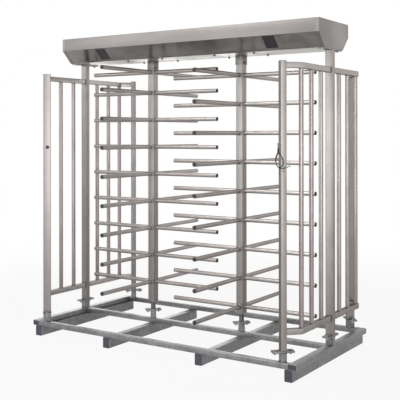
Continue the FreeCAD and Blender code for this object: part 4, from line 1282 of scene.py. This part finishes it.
# The last stretch of the lead, a little longer at its very end
def leadTail(line, s):
    tail = [line[-1]]
    run = 0.0
    for point in reversed(line[:-1]):
        run += (point - tail[-1]).length
        tail.append(point)
        if run > s.sleeveLength:
            break
    tail[0] = tail[0] + (tail[0] - tail[1]).normalized() * s.sleevePast
    return tail[::-1]


def makeLead(s):
    place = standing(*s.mouth, s.turn)
    points = [place @ (Vector(point) / 1000) for point in s.route]
    curve = leadCurve(points, s.radius)
    piece = addObject("readerLead", curve)
    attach(piece, "frame")
    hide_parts("reader_lead")
    boot = putPiece("leadBoot", bootMesh(place, s), ["reader_lead"], "lead_jacket")
    mesh = sleeveAlong(leadTail(readRoute(curve), s), s.sleeveRadius)
    sleeve = putPiece("leadSleeve", mesh, ["reader_lead"], "gland_plastic")


makeLead(lead)
print("lead made")

# Floor, world and lamps
studio = Values(
    floor=0.26,
    worldLight=0.2,
    whiteNear=0.93,  # how white the camera sees the floor beside the skid
    whiteFrom=2.2,  # and from where to where it fades to full white
    whiteAll=6.0,
    floorHalf=30,
    floorDrop=0.0005,
    lampAim=1.1,
)


def makeStudio(s):
    world = bpy.data.worlds.new("studioWorld")
    bpy.context.scene.world = world
    world.use_nodes = True
    graph = Graph(world.node_tree)
    seen = seenBare(graph)
    level = seen * (1 - s.worldLight) + s.worldLight
    sky = graph.node("ShaderNodeBackground", {"Color": (1, 1, 1, 1), "Strength": level})
    graph.node("ShaderNodeOutputWorld", {"Surface": sky.out()})
    finish = Finish("paleFloor")
    finish.tree.nodes.clear()
    diffuse = finish.node("ShaderNodeBsdfDiffuse", {"Color": (*[s.floor] * 3, 1)})
    white = finish.node("ShaderNodeEmission", {"Color": (1, 1, 1, 1), "Strength": 1.0})
    x, y, _ = finish.split(finish.place())
    far = ((x * x + y * y) ** 0.5).ramp(s.whiteFrom, s.whiteAll)
    share = seenBare(finish) * (s.whiteNear + far * (1 - s.whiteNear))
    mixed = finish.node("ShaderNodeMixShader", {0: share, 1: diffuse.out(), 2: white.out()})
    finish.node("ShaderNodeOutputMaterial", {"Surface": mixed.out()})
    mesh = bpy.data.meshes.new("floor")
    half = s.floorHalf
    corners = [(-half, -half, 0), (half, -half, 0), (half, half, 0), (-half, half, 0)]
    mesh.from_pydata(corners, [], [(0, 1, 2, 3)])
    mesh.materials.append(finish.material)
    floor = addObject("floor", mesh)
    floor.location.z = -s.floorDrop


# 1 for rays from the camera and for those that a glossy or clear surface sends on
def seenBare(graph):
    ray = graph.node("ShaderNodeLightPath")
    seen = ray.out("Is Camera Ray").largest(ray.out("Is Glossy Ray"))
    return seen.largest(ray.out("Is Transmission Ray"))


# Name, place, side in metres and power in watts
lamps = (
    ("keyLamp", (7.2, -6.4, 2.0), 4.0, 88),
    ("lowLamp", (6.6, -6.9, 1.1), 2.2, 84),
    ("topLamp", (-1.3, -2.4, 6.0), 3.6, 285),
    ("fillLamp", (-2.5, -7.4, 1.4), 2.6, 86),
    ("sideLamp", (-7.4, -6.4, 4.2), 2.4, 80),
    ("backLamp", (4.5, 7.0, 3.0), 4.0, 30),
    ("farLamp", (-5.5, 6.5, 2.4), 4.0, 120),
)


def makeLamps(s):
    for name, place, size, power in lamps:
        data = bpy.data.lights.new(name, "AREA")
        data.shape = "SQUARE"
        data.size = size
        data.energy = power
        lamp = addObject(name, data)
        lamp.location = place
        toward = Vector((0, 0, s.lampAim)) - Vector(place)
        lamp.rotation_mode = "QUATERNION"
        lamp.rotation_quaternion = toward.to_track_quat("-Z", "Y")


makeStudio(studio)
makeLamps(studio)
bpy.context.scene.view_settings.view_transform = "Standard"
print("studio made")
